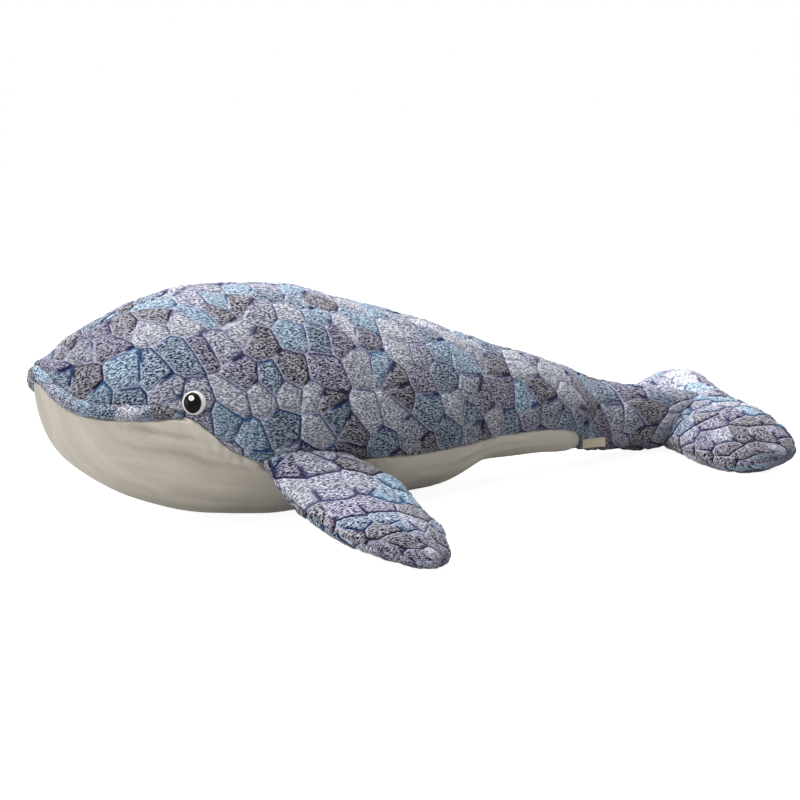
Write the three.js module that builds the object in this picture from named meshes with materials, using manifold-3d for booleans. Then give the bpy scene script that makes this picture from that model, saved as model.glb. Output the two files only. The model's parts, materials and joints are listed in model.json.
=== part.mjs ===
// A stuffed toy whale lying on its belly, sewn from fleece and plush panels over fibre filling.
// Millimetres, +Z up. The nose points towards -X and the toy's left side is -Y.
// The origin is the middle of the toy's bounding box, on the surface that it lies on.

import * as THREE from 'three';
import { mergeVertices } from 'three/addons/utils/BufferGeometryUtils.js';
import Module from 'manifold-3d';

const wasm = await Module();
wasm.setup();

// Cloth, seams and running gaps
const SKIN = 3;
const FIT_GAP = 0.3;
const SEAM_GAP = 2.2;
const THREAD_RADIUS = 0.5;
const HINGE_GAP = 0.8;
const REST_CUT = 0.5;
const OVERRUN = 40;

// Body and tail stock, one tapering form from the nose to inside the flukes
const SPINE_LENGTH = 800;
const BODY_HEIGHT = 228;
const BODY_HALF_WIDTH = 114;
const WAIST_SHARE = 0.46;
const SPINE_SHARES = [
  // from the nose, top, underside, half width
  [0, 0.7, 0.7, 0],
  [0.005, 0.75, 0.585, 0.18],
  [0.02, 0.757, 0.401, 0.416],
  [0.0563, 0.844, 0.256, 0.644],
  [0.125, 0.943, 0.118, 0.868],
  [0.206, 1, 0.035, 0.982],
  [0.294, 0.982, 0, 1],
  [0.4, 0.89, 0, 0.912],
  [0.5, 0.772, 0, 0.789],
  [0.6, 0.636, 0.082, 0.579],
  [0.7, 0.513, 0.076, 0.465],
  [0.8, 0.364, 0.036, 0.342],
  [0.875, 0.307, 0.009, 0.307],
  [0.945, 0.26, 0.013, 0.24],
  [0.985, 0.2, 0.05, 0.12],
  [1, 0.125, 0.125, 0],
];

// Mouth line and belly seam, seen from the side
const MOUTH_CORNER_SHARE = 0.14;
const BELLY_END_SHARE = 0.738;
const SEAM_SHARES = [
  // from the nose, height
  [0, 0.7],
  [0.0015, 0.695],
  [0.0045, 0.677],
  [0.009, 0.646],
  [0.0225, 0.607],
  [0.05, 0.586],
  [0.0775, 0.5825],
  [0.1085, 0.5785],
  [0.127, 0.563],
  [0.14, 0.542],
  [0.158, 0.485],
  [0.18, 0.411],
  [0.205, 0.36],
  [0.231, 0.322],
  [0.3025, 0.303],
  [0.386, 0.272],
  [0.465, 0.254],
  [0.55, 0.252],
  [0.656, 0.232],
  [0.712, 0.2],
  [0.738, 0.1],
];

// Lip roll
const LIP_RADIUS = 7.5;
const LIP_SKIN = 2.4;
const LIP_SINK = 2;

// Eyes, over the mouth's corner
const EYE_PLACE_SHARE = 0.1414;
const EYE_RISE = 16.2;
const EYE_RADIUS = 11;
const EYE_DOME = 4.8;
const EYE_RIM_SHARE = 0.75;
const EYE_SEAT_DEPTH = 1;
const PUPIL_HALF_WIDTH = 7.5;
const PUPIL_HALF_HEIGHT = 9.2;
const PUPIL_FORWARD = 1.8;
const PUPIL_PROUD = 0.6;
const PUPIL_DEPTH = 1.6;
const POST_RADIUS = 2.5;
const POST_LENGTH = 15;
const WASHER_RADIUS = 9;
const WASHER_THICKNESS = 2;
const WASHER_DEPTH = 2.9;

// Flippers, rooted on the belly seam
const FLIPPER_PLACE_SHARE = 0.285;
const FLIPPER_ROOT_OUT = 1.4;
const FLIPPER_ROOT_FALL = 1.5;
const FLIPPER_YAW = 3.7;
const FLIPPER_PITCH = 6.4;
const FLIPPER_SPAN = 155;
const FLIPPER_CHORD = 120;
const FLIPPER_THICKNESS = 38;
const FLIPPER_DROP = 58;
const FLIPPER_SWEEP = 49;
const FLIPPER_HANG = 30;
const FLIPPER_UP_RELIEF = 34;
const FLIPPER_DOWN_RELIEF = 27;
const FLIPPER_SHARES = [
  // span, chord, thickness, drop, sweep
  [-0.16, 0.867, 0.87, -0.14, 0],
  [0, 0.867, 0.87, 0, 0],
  [0.18, 1.04, 1, 0.4, 0.41],
  [0.36, 0.95, 1.02, 0.66, 0.59],
  [0.54, 0.84, 1.02, 0.8, 0.68],
  [0.7, 0.67, 0.96, 0.88, 0.8],
  [0.84, 0.442, 0.82, 0.94, 0.867],
  [0.94, 0.267, 0.6, 0.98, 0.939],
  [1, 0, 0, 1, 1],
];

// Tail hinge, where the stock bends
const TAIL_PLACE_SHARE = 0.845;
const TAIL_RELIEF = 15;

// Flukes
const FLUKE_PLACE_SHARE = 0.9025;
const FLUKE_ROOT_RISE = 15.3;
const FLUKE_YAW = 14;
const FLUKE_PITCH = 16;
const FLUKE_HALF_SPAN = 150;
const FLUKE_CHORD = 102;
const FLUKE_THICKNESS = 50;
const FLUKE_DROOP = 18;
const FLUKE_HINGE_SHARE = 0.28;
const FLUKE_RELIEF = 18;
const FLUKE_LIFT = { left: 0, right: 13 };
const FLUKE_SHARES = [
  // span, leading edge, trailing edge, thickness, droop
  [0, -0.12, 0.9, 1, 0],
  [0.13, -0.12, 0.92, 1, 0],
  [0.28, -0.1, 0.94, 0.98, 0.05],
  [0.5, -0.07, 0.96, 0.94, 0.2],
  [0.7, 0, 0.96, 0.85, 0.45],
  [0.86, 0.15, 0.93, 0.68, 0.75],
  [0.95, 0.37, 0.88, 0.45, 0.93],
  [1, 0.72, 0.72, 0, 1],
];

// Care label, over the end of the belly panel
const LABEL_AHEAD = 6.4;
const LABEL_LENGTH = 29;
const LABEL_HEIGHT = 10.5;
const LABEL_THICKNESS = 0.8;
const LABEL_TOP_RISE = 11.2;
const LABEL_CLEARANCE = 0.6;

// Facets
const BODY_RINGS = 14;
const BODY_SIDES = 20;
const LIMB_SIDES = 12;
const KNUCKLE_SEGMENTS = 16;
const KNUCKLE_ROWS = 4;
const LIP_STEPS = 18;
const LIP_SIDES = 6;
const SEAM_POINTS = 34;
const EYE_SEGMENTS = 12;
const DOME_POINTS = 3;
const RING_CROWDING = 1.6;
const NOSE_RING_SHARE = 0.004;

// A step for measuring slopes
const NUDGE = 0.5;

// Colours and finishes
const FINISHES = {
  fleece: { color: 0x6f7fa3, roughness: 0.95, metalness: 0 },
  plush: { color: 0xd2c8ba, roughness: 0.9, metalness: 0 },
  filling: { color: 0xf2f0ea, roughness: 1, metalness: 0 },
  thread: { color: 0x37406b, roughness: 0.8, metalness: 0 },
  eyeWhite: { color: 0xf1f0ee, roughness: 0.25, metalness: 0 },
  eyeBlack: { color: 0x0b0b0d, roughness: 0.08, metalness: 0 },
  washer: { color: 0xdedede, roughness: 0.5, metalness: 0 },
  label: { color: 0xcfc8bb, roughness: 0.8, metalness: 0 },
};

const radians = THREE.MathUtils.degToRad;
const column = (table, index) => table.map((row) => row[index]);

// A smooth curve through the points that never overshoots them.
function smoothCurve(xs, ys) {
  const slopes = xs.slice(1).map((x, i) => (ys[i + 1] - ys[i]) / (x - xs[i]));
  const tangents = xs.map((x, i) => {
    const before = slopes[Math.max(i - 1, 0)];
    const after = slopes[Math.min(i, slopes.length - 1)];
    return before * after <= 0 ? 0 : (2 * before * after) / (before + after);
  });
  return (x) => {
    const last = xs.length - 2;
    const i = Math.min(Math.max(xs.findIndex((knot) => knot > x) - 1, x >= xs[last] ? last : 0), last);
    const step = xs[i + 1] - xs[i];
    const t = (x - xs[i]) / step;
    const rise = ys[i + 1] - ys[i];
    const bend = tangents[i] * step - rise;
    const unbend = rise - tangents[i + 1] * step;
    return ys[i] + t * rise + t * (1 - t) * ((1 - t) * bend + t * unbend);
  };
}

// Solids and geometries

function solidOf(geometry) {
  const bare = geometry.clone();
  bare.deleteAttribute('normal');
  bare.deleteAttribute('uv');
  const merged = mergeVertices(bare);
  const corners = merged.index.array;
  const kept = [];
  for (let i = 0; i < corners.length; i += 3) {
    const [a, b, c] = corners.slice(i, i + 3);
    if (a !== b && b !== c && c !== a) kept.push(a, b, c);
  }
  return new wasm.Manifold(new wasm.Mesh({
    numProp: 3,
    vertProperties: merged.attributes.position.array,
    triVerts: new Uint32Array(kept),
  }));
}

function geometryOf(solid) {
  const mesh = solid.getMesh();
  const geometry = new THREE.BufferGeometry();
  geometry.setAttribute('position', new THREE.BufferAttribute(mesh.vertProperties, 3));
  geometry.setIndex(new THREE.BufferAttribute(mesh.triVerts, 1));
  geometry.computeVertexNormals();
  return geometry;
}

const mirrored = (solid) => solid.mirror([0, 1, 0]);

// Forms are rings of points between two pole points

function moved(point, direction, distance) {
  return point.clone().addScaledVector(direction, distance);
}

function middle(points) {
  return points.reduce((sum, point) => sum.add(point), new THREE.Vector3()).divideScalar(points.length);
}

// The same form, each point moved inwards along the surface's normal.
function inset({ rings, start, end }, depth) {
  const sides = rings[0].length;
  const before = (i) => (i > 0 ? rings[i - 1] : rings[0].map(() => start));
  const after = (i) => (i < rings.length - 1 ? rings[i + 1] : rings[0].map(() => end));
  const shrunk = rings.map((ring, i) => ring.map((point, j) => {
    const around = ring[(j + 1) % sides].clone().sub(ring[(j + sides - 1) % sides]);
    const along = after(i)[j].clone().sub(before(i)[j]);
    return moved(point, around.cross(along).normalize(), -depth);
  }));
  const capped = (pole, ring) => moved(pole, middle(ring).sub(pole).normalize(), depth);
  return { rings: shrunk, start: capped(start, rings[0]), end: capped(end, rings[rings.length - 1]) };
}

function skinGeometry({ rings, start, end }) {
  const sides = rings[0].length;
  const points = [start, ...rings.flat(), end];
  const at = (i, j) => 1 + i * sides + (j % sides);
  const faces = [];
  for (let j = 0; j < sides; j += 1) {
    faces.push(0, at(0, j + 1), at(0, j));
    for (let i = 0; i < rings.length - 1; i += 1) {
      faces.push(at(i, j), at(i, j + 1), at(i + 1, j + 1));
      faces.push(at(i, j), at(i + 1, j + 1), at(i + 1, j));
    }
    faces.push(points.length - 1, at(rings.length - 1, j), at(rings.length - 1, j + 1));
  }
  const geometry = new THREE.BufferGeometry().setFromPoints(points);
  geometry.setIndex(faces);
  return geometry;
}

const formSolid = (form, depth = 0) => solidOf(skinGeometry(depth ? inset(form, depth) : form));

// The cloth shell of joined forms and the filling inside it.
function layers(...forms) {
  const joined = (depth) => wasm.Manifold.union(forms.map((form) => formSolid(form, depth)));
  const outer = joined(0);
  const filling = joined(SKIN + FIT_GAP);
  return { outer, filling, shell: outer.subtract(joined(SKIN)) };
}

function tube(points, radius, sides, steps) {
  const extrudePath = new THREE.CatmullRomCurve3(points);
  // An arc is cut into twice its curve segments
  return solidOf(new THREE.ExtrudeGeometry(circle(radius), { steps, extrudePath, curveSegments: sides / 2 }));
}

// A square thread through points, each with its direction from side to side.
function threadThrough(points, sideways) {
  const last = points.length - 1;
  const rings = points.map((point, i) => {
    const run = points[Math.min(i + 1, last)].clone().sub(points[Math.max(i - 1, 0)]);
    const outwards = sideways[i].clone().cross(run).normalize();
    const ways = [outwards, sideways[i], outwards.clone().negate(), sideways[i].clone().negate()];
    return ways.map((way) => moved(point, way, THREAD_RADIUS));
  });
  return solidOf(skinGeometry({ rings, start: points[0], end: points[last] }));
}

function frameAt(origin, right, up) {
  return new THREE.Matrix4().makeBasis(right, up, right.clone().cross(up)).setPosition(origin);
}

// An outline in the plane of a frame's first two directions, made a prism along the third.
function prism(shape, frame, low, high, curveSegments = KNUCKLE_SEGMENTS) {
  const depth = high - low;
  const geometry = new THREE.ExtrudeGeometry(shape, { depth, bevelEnabled: false, curveSegments });
  return solidOf(geometry.translate(0, 0, low).applyMatrix4(frame));
}

function circle(radius) {
  return new THREE.Shape().absarc(0, 0, radius, 0, 2 * Math.PI);
}

function wedge(reach, low, high) {
  return new THREE.Shape().absarc(0, 0, reach, radians(low), radians(high)).lineTo(0, 0);
}

// Hinge lines between sewn pieces. The moving piece has a knuckle that swells to its thickness about the
// line and it fills a wedge beyond the line. The piece that carries it has a socket for the knuckle and,
// where it has a relief, gives way to a wider wedge.
function hingeTools({ frame, radius, halfLength, reach, rise, fall, relief = 0 }) {
  const spindle = (growth) => {
    const ball = new THREE.SphereGeometry(1, KNUCKLE_SEGMENTS, KNUCKLE_ROWS);
    ball.scale(radius + growth, halfLength + growth, radius + growth);
    return solidOf(ball.rotateX(Math.PI / 2).applyMatrix4(frame));
  };
  const fan = (place, low, high) => prism(wedge(reach, low, high), place, -reach, reach);
  const early = frame.clone().multiply(new THREE.Matrix4().makeTranslation(-FIT_GAP, 0, 0));
  const socket = spindle(HINGE_GAP);
  return {
    frame,
    knuckle: spindle(0),
    fan: fan(frame, fall - 90, 90 - rise),
    earlyFan: fan(early, fall - 90, 90 - rise),
    socket,
    opening: relief ? socket.add(fan(frame, -90 - relief, 90 + relief)) : socket,
  };
}

// The filling of a moving piece, which in its knuckle takes the place of the cloth too.
function movingFilling({ outer, filling }, { knuckle, fan, earlyFan }) {
  return filling.intersect(knuckle.add(fan)).add(outer.intersect(knuckle).subtract(earlyFan));
}

// The spine form

const AFT = new THREE.Vector3(1, 0, 0);
const LEFT = new THREE.Vector3(0, -1, 0);
const UP = new THREE.Vector3(0, 0, 1);

const spineCurves = [1, 2, 3].map((index) => smoothCurve(
  column(SPINE_SHARES, 0).map(Math.sqrt),
  column(SPINE_SHARES, index),
));

function spineSection(fromNose) {
  const [top, bottom, halfWidth] = spineCurves.map((curve) => curve(Math.sqrt(fromNose / SPINE_LENGTH)));
  const low = bottom * BODY_HEIGHT - REST_CUT;
  const high = top * BODY_HEIGHT;
  return { low, high, waist: low + WAIST_SHARE * (high - low), halfWidth: halfWidth * BODY_HALF_WIDTH };
}

function spinePoint(fromNose, angle) {
  const { low, high, waist, halfWidth } = spineSection(fromNose);
  const rise = Math.sin(angle);
  const reach = rise > 0 ? high - waist : waist - low;
  return new THREE.Vector3(fromNose, halfWidth * Math.cos(angle), waist + reach * rise);
}

const turn = (j, sides) => (2 * Math.PI * j) / sides;

const ringShares = [NOSE_RING_SHARE, ...Array.from({ length: BODY_RINGS }, (_, i) => (
  ((i + 1) / (BODY_RINGS + 1)) ** RING_CROWDING
))];
const spineForm = {
  rings: ringShares.map((share) => (
    Array.from({ length: BODY_SIDES }, (_, j) => spinePoint(SPINE_LENGTH * share, turn(j, BODY_SIDES)))
  )),
  start: spinePoint(0, 0),
  end: spinePoint(SPINE_LENGTH, 0),
};

// The left flank's point at a distance from the nose and a height, at a depth along its normal.
function flank(fromNose, height, depth = 0) {
  const onSkin = (s, z) => {
    const { low, high, waist, halfWidth } = spineSection(s);
    const rise = THREE.MathUtils.clamp((z - waist) / (z > waist ? high - waist : waist - low), -1, 1);
    return new THREE.Vector3(s, -halfWidth * Math.sqrt(1 - rise * rise), z);
  };
  const aft = onSkin(fromNose + NUDGE, height).sub(onSkin(Math.max(fromNose - NUDGE, 0), height));
  const up = onSkin(fromNose, height + NUDGE).sub(onSkin(fromNose, height - NUDGE));
  const normal = aft.cross(up).normalize();
  return { point: moved(onSkin(fromNose, height), normal, -depth), normal };
}

const spine = layers(spineForm);

// The seam between the side panels and the belly panel
const seamHeightShare = smoothCurve(column(SEAM_SHARES, 0), column(SEAM_SHARES, 1));
const seamHeight = (fromNose) => BODY_HEIGHT * seamHeightShare(fromNose / SPINE_LENGTH);

// Limbs are rows of sections across a middle line

function limbRing(section) {
  return Array.from({ length: LIMB_SIDES }, (_, j) => {
    const angle = turn(j, LIMB_SIDES);
    const edge = moved(section.centre, section.along, section.halfChord * Math.cos(angle));
    return moved(edge, section.up, section.halfThickness * Math.sin(angle));
  });
}

// The first and the last section give the poles.
function limbForm(sections) {
  return {
    rings: sections.slice(1, -1).map(limbRing),
    start: sections[0].centre,
    end: sections[sections.length - 1].centre,
  };
}

// A slab wider than the limb, from one height over its middle to another.
function slab(sections, low, high) {
  const corner = (section, side, height) => (
    moved(moved(section.centre, section.along, side * (section.halfChord + OVERRUN)), section.up, height)
  );
  const rings = sections.map((section) => [
    corner(section, 1, low), corner(section, 1, high), corner(section, -1, high), corner(section, -1, low),
  ]);
  const last = rings.length - 1;
  return solidOf(skinGeometry({ rings, start: middle(rings[0]), end: middle(rings[last]) }));
}

// The cloth of a limb in its upper and lower panel.
function limbPanels(shell, sections) {
  return {
    upper_panel: shell.intersect(slab(sections, SEAM_GAP / 2, OVERRUN)),
    lower_panel: shell.intersect(slab(sections, -OVERRUN, -SEAM_GAP / 2)).subtract(floor),
  };
}

// The edges of a limb in the middle of its cloth, from the first section to the last.
function limbEdges(sections) {
  const { rings, start, end } = inset(limbForm(sections), SKIN / 2);
  return {
    start,
    end,
    leading: rings.map((ring) => ring[LIMB_SIDES / 2]),
    trailing: rings.map((ring) => ring[0]),
    ups: sections.slice(1, -1).map(({ up }) => up),
  };
}

// The thread along one edge of a limb, round its tip and back along the other edge.
function tipThread(there, tip, back, ups) {
  const line = [...there, tip, ...back.slice().reverse()];
  return threadThrough(line, [...ups, ups[ups.length - 1], ...ups.slice().reverse()]);
}

const floor = solidOf(new THREE.BoxGeometry(4 * SPINE_LENGTH, SPINE_LENGTH, SPINE_LENGTH)
  .translate(0, 0, -SPINE_LENGTH / 2));

// Left flipper, mirrored for the right one

const flipperFromNose = SPINE_LENGTH * FLIPPER_PLACE_SHARE;
const flipperPlace = moved(
  flank(flipperFromNose, seamHeight(flipperFromNose) - FLIPPER_ROOT_FALL).point,
  LEFT,
  FLIPPER_ROOT_OUT,
);
const flipperCurves = [1, 2, 3, 4].map((index) => smoothCurve(
  column(FLIPPER_SHARES, 0),
  column(FLIPPER_SHARES, index),
));

function flipperSection(share) {
  const [chord, thickness, drop, sweep] = flipperCurves.map((curve) => curve(share));
  const rootward = THREE.MathUtils.clamp(1 - share, 0, 1);
  const turned = new THREE.Euler(0, radians(FLIPPER_PITCH * rootward), radians(FLIPPER_YAW * rootward), 'ZYX');
  const along = AFT.clone().applyEuler(turned);
  return {
    centre: new THREE.Vector3(
      flipperPlace.x + FLIPPER_SWEEP * sweep,
      flipperPlace.y - FLIPPER_SPAN * share,
      flipperPlace.z - FLIPPER_DROP * drop,
    ),
    along,
    up: LEFT.clone().cross(along).normalize(),
    halfChord: (FLIPPER_CHORD * chord) / 2,
    halfThickness: (FLIPPER_THICKNESS * thickness) / 2,
  };
}

const flipperRows = column(FLIPPER_SHARES, 0).map(flipperSection);
const flipperSections = [{ ...flipperRows[0], halfChord: 0, halfThickness: 0 }, ...flipperRows];
const flipperForm = limbForm(flipperSections);
const flipper = layers(flipperForm);
const flipperEdges = limbEdges(flipperSections);

const flipperRoot = flipperSection(0);
const flipperOutboard = LEFT.clone().applyAxisAngle(AFT, radians(FLIPPER_HANG));
const flipperUp = flipperOutboard.clone().cross(flipperRoot.along).normalize();
const flipperHinge = hingeTools({
  frame: frameAt(flipperRoot.centre, flipperRoot.along.clone().cross(flipperUp), flipperUp),
  radius: flipperRoot.halfThickness,
  halfLength: flipperRoot.halfChord,
  reach: FLIPPER_SPAN + OVERRUN,
  rise: FLIPPER_UP_RELIEF,
  fall: FLIPPER_DOWN_RELIEF,
});

const flipperPieces = {
  stuffing: movingFilling(flipper, flipperHinge),
  ...limbPanels(flipper.shell.intersect(flipperHinge.fan), flipperSections),
  seam_thread: tipThread(flipperEdges.leading, flipperEdges.end, flipperEdges.trailing, flipperEdges.ups)
    .intersect(flipperHinge.fan),
};

// Flukes

const flukeCurves = [1, 2, 3, 4].map((index) => smoothCurve(
  column(FLUKE_SHARES, 0),
  column(FLUKE_SHARES, index),
));
const flukeFromNose = SPINE_LENGTH * FLUKE_PLACE_SHARE;
const flukeTurn = new THREE.Matrix4()
  .makeRotationFromEuler(new THREE.Euler(0, -radians(FLUKE_PITCH), -radians(FLUKE_YAW), 'ZYX'))
  .setPosition(flukeFromNose, 0, spineSection(flukeFromNose).low + FLUKE_ROOT_RISE);
const [flukeAlong, flukeLeft, flukeUp] = [AFT, LEFT, UP].map((way) => way.clone().transformDirection(flukeTurn));

function flukeSection(share) {
  const [leading, trailing, thickness, droop] = flukeCurves.map((curve) => curve(Math.abs(share)));
  return {
    centre: new THREE.Vector3(
      (FLUKE_CHORD * (leading + trailing)) / 2,
      -FLUKE_HALF_SPAN * share,
      -FLUKE_DROOP * droop,
    ).applyMatrix4(flukeTurn),
    along: flukeAlong,
    up: flukeUp,
    halfChord: (FLUKE_CHORD * (trailing - leading)) / 2,
    halfThickness: (FLUKE_THICKNESS * thickness) / 2,
  };
}

const flukeSpans = column(FLUKE_SHARES, 0);
const bothSpans = [...flukeSpans.slice(1).reverse().map((share) => -share), ...flukeSpans];
const flukeSections = bothSpans.map(flukeSection);
const flukeForm = limbForm(flukeSections);
const fluke = layers(flukeForm);
const flukeEdges = limbEdges(flukeSections);
const leftwards = (list) => list.slice(list.length / 2);
const rightwards = (list) => list.slice(0, Math.ceil(list.length / 2)).reverse();
const flukeThreads = Object.fromEntries([
  ['left', flukeEdges.end, leftwards],
  ['right', flukeEdges.start, rightwards],
].map(([side, tip, outwards]) => {
  const [leading, trailing, ups] = [flukeEdges.leading, flukeEdges.trailing, flukeEdges.ups].map(outwards);
  return [side, tipThread(leading, tip, trailing, ups)];
}));

const flukeHinges = Object.fromEntries([['left', 1], ['right', -1]].map(([side, sign]) => {
  const root = flukeSection(sign * FLUKE_HINGE_SHARE);
  return [side, hingeTools({
    frame: frameAt(root.centre, flukeLeft.clone().multiplyScalar(sign), flukeUp),
    radius: root.halfThickness,
    halfLength: root.halfChord,
    reach: FLUKE_HALF_SPAN + FLUKE_CHORD,
    rise: FLUKE_RELIEF,
    fall: FLUKE_RELIEF,
    relief: FLUKE_RELIEF,
  })];
}));

// Tail: the stock behind the bend, and the middle of the flukes sewn to it

const tailFromNose = SPINE_LENGTH * TAIL_PLACE_SHARE;
const tailRoot = spineSection(tailFromNose);
const tailCentre = new THREE.Vector3(tailFromNose, 0, (tailRoot.low + tailRoot.high) / 2);
const tailHinge = hingeTools({
  frame: frameAt(tailCentre, AFT, UP),
  radius: (tailRoot.high - tailRoot.low) / 2,
  halfLength: tailRoot.halfWidth,
  reach: SPINE_LENGTH,
  rise: TAIL_RELIEF,
  fall: TAIL_RELIEF,
  relief: TAIL_RELIEF,
});

// Everything past a distance from the nose.
function behind(fromNose) {
  const far = new THREE.BoxGeometry(SPINE_LENGTH, SPINE_LENGTH, 2 * SPINE_LENGTH);
  return solidOf(far.translate(fromNose + SPINE_LENGTH / 2, 0, 0));
}

const leftHalf = solidOf(new THREE.BoxGeometry(3 * SPINE_LENGTH, SPINE_LENGTH, 2 * SPINE_LENGTH)
  .translate(0, -(SPINE_LENGTH + SEAM_GAP) / 2, 0));
const rightHalf = mirrored(leftHalf);

// The thread along the middle of the back or of the underside, a number of quarter turns round.
function middleThread(quarters) {
  const line = inset(spineForm, SKIN / 2).rings.map((ring) => ring[(quarters * BODY_SIDES) / 4]);
  return threadThrough(line, line.map(() => LEFT));
}

const backThread = middleThread(1);
const undersideThread = middleThread(3);

const flukeOpenings = flukeHinges.left.opening.add(flukeHinges.right.opening);
const flukeSockets = flukeHinges.left.socket.add(flukeHinges.right.socket);
const flukeRoom = behind(flukeFromNose + FIT_GAP).subtract(flukeOpenings);
const stockRoom = tailHinge.fan.subtract(behind(flukeFromNose)).subtract(flukeSockets);
const stockShell = spine.shell.intersect(stockRoom).subtract(floor);
const stockPieces = {
  tail_stuffing: movingFilling(spine, tailHinge).subtract(behind(flukeFromNose)).subtract(flukeSockets),
  tail_panel_left: stockShell.intersect(leftHalf),
  tail_panel_right: stockShell.intersect(rightHalf),
  tail_back_seam_thread: backThread.intersect(stockRoom),
  tail_underside_seam_thread: undersideThread.intersect(stockRoom),
};

const centre = layers(spineForm, flukeForm);
const centrePieces = {
  stuffing: centre.filling.intersect(flukeRoom),
  ...limbPanels(centre.shell.intersect(flukeRoom), flukeSections),
  seam_thread: threadThrough(flukeEdges.trailing, flukeEdges.ups).intersect(flukeRoom),
};

// One lobe of the flukes.
const lobePieces = (side) => ({
  stuffing: movingFilling(fluke, flukeHinges[side]),
  ...limbPanels(fluke.shell.intersect(flukeHinges[side].fan), flukeSections),
  seam_thread: flukeThreads[side].intersect(flukeHinges[side].fan),
});

// Body

const bellyEnd = SPINE_LENGTH * BELLY_END_SHARE;

function seamLine(from, to, count) {
  return Array.from({ length: count + 1 }, (_, i) => {
    const fromNose = from + (to - from) * (i / count) ** RING_CROWDING;
    return new THREE.Vector2(fromNose, seamHeight(fromNose));
  });
}

// Everything under the belly seam, with the seam moved down or up by a distance.
function underSeam(distance) {
  const line = [
    new THREE.Vector2(-OVERRUN, seamHeight(0)),
    ...seamLine(0, bellyEnd, SEAM_POINTS),
    new THREE.Vector2(bellyEnd, -OVERRUN),
  ];
  const edge = line.map((point, i) => {
    const run = line[Math.min(i + 1, line.length - 1)].clone().sub(line[Math.max(i - 1, 0)]).normalize();
    return point.clone().add(new THREE.Vector2(-run.y, run.x).multiplyScalar(distance));
  });
  const outline = new THREE.Shape([...edge, new THREE.Vector2(-OVERRUN, -OVERRUN)]);
  return prism(outline, frameAt(new THREE.Vector3(), AFT, UP), -SPINE_LENGTH, SPINE_LENGTH);
}

const lipEnd = SPINE_LENGTH * MOUTH_CORNER_SHARE - LIP_RADIUS;
const nosePole = new THREE.Vector3(LIP_SINK, 0, seamHeight(0));

// The mouth line from the left corner round the nose to the right one, longer at both ends by an overrun.
function lipPoints(overrun) {
  const left = Array.from({ length: LIP_STEPS / 2 }, (_, i) => {
    const fromNose = (lipEnd + overrun) * (1 - i / (LIP_STEPS / 2)) ** 2;
    return flank(fromNose, seamHeight(fromNose), LIP_SINK).point;
  });
  const right = left.map(({ x, y, z }) => new THREE.Vector3(x, -y, z)).reverse();
  return [...left, nosePole, ...right];
}

const lipTube = (radius, overrun = 0) => tube(lipPoints(overrun), radius, LIP_SIDES, LIP_STEPS);
const lipGroove = lipTube(LIP_RADIUS + FIT_GAP, FIT_GAP);

// Left eye, mirrored for the right one. Its frame looks out of the flank, with its first direction aft.

const eyeHeight = seamHeight(SPINE_LENGTH * MOUTH_CORNER_SHARE) + EYE_RISE;
const eyeSeat = flank(SPINE_LENGTH * EYE_PLACE_SHARE, eyeHeight, EYE_SEAT_DEPTH);
const eyeAft = UP.clone().cross(eyeSeat.normal).normalize();
const eyeFrame = frameAt(eyeSeat.point, eyeAft, eyeSeat.normal.clone().cross(eyeAft));

function turned(profile) {
  const points = profile.map(([radius, height]) => new THREE.Vector2(radius, height));
  const lathe = new THREE.LatheGeometry(points, EYE_SEGMENTS).rotateX(Math.PI / 2);
  return solidOf(lathe.applyMatrix4(eyeFrame));
}

function disc(radius, low, high) {
  return turned([[0, low], [radius, low], [radius, high], [0, high]]);
}

// A domed button with a flat back, its dome raised by a lift.
function button(lift) {
  const dome = Array.from({ length: DOME_POINTS + 1 }, (_, i) => {
    const share = 1 - i / DOME_POINTS;
    return [EYE_RADIUS * share, lift + EYE_DOME * (1 - EYE_RIM_SHARE * share * share)];
  });
  return turned([[0, Math.min(lift, 0)], [EYE_RADIUS, Math.min(lift, 0)], ...dome]);
}

function pupilPrism(growth) {
  const outline = new THREE.Shape();
  const halfWidth = PUPIL_HALF_WIDTH + growth;
  outline.absellipse(-PUPIL_FORWARD, 0, halfWidth, PUPIL_HALF_HEIGHT + growth, 0, 2 * Math.PI);
  return prism(outline, eyeFrame, 0, EYE_RADIUS, EYE_SEGMENTS / 2);
}

const post = disc(POST_RADIUS, -POST_LENGTH, EYE_SEAT_DEPTH);
const washerBottom = -WASHER_DEPTH - WASHER_THICKNESS;
const eyePieces = {
  eye_rim: button(0).add(post).subtract(pupilPrism(FIT_GAP).subtract(button(-PUPIL_DEPTH - FIT_GAP))),
  eye_pupil: button(PUPIL_PROUD).intersect(pupilPrism(0)).subtract(button(-PUPIL_DEPTH)),
  eye_washer: disc(WASHER_RADIUS, washerBottom, -WASHER_DEPTH)
    .subtract(disc(POST_RADIUS + FIT_GAP, washerBottom - FIT_GAP, 0)),
};
const eyeRoom = disc(EYE_RADIUS + FIT_GAP, -FIT_GAP, OVERRUN)
  .add(disc(POST_RADIUS + FIT_GAP, -POST_LENGTH - FIT_GAP, 0))
  .add(disc(WASHER_RADIUS + FIT_GAP, washerBottom - FIT_GAP, FIT_GAP - WASHER_DEPTH));

// Body cloth, seams and filling

const bothSides = (solid) => solid.add(mirrored(solid));
const eyeRooms = bothSides(eyeRoom);
const bodyOpenings = tailHinge.opening.add(bothSides(flipperHinge.opening)).add(lipGroove);
const bodyShell = spine.shell.subtract(bodyOpenings);
const sideShell = bodyShell.subtract(underSeam(SEAM_GAP / 2)).subtract(eyeRooms);
const seamBand = underSeam(THREAD_RADIUS).subtract(underSeam(-THREAD_RADIUS));
const bellyThread = formSolid(spineForm, SKIN / 2 - THREAD_RADIUS).intersect(seamBand)
  .subtract(formSolid(spineForm, SKIN / 2 + THREAD_RADIUS)).subtract(bodyOpenings);
const throatThread = bellyThread.intersect(behind(lipEnd)).subtract(behind(flipperFromNose));

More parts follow.
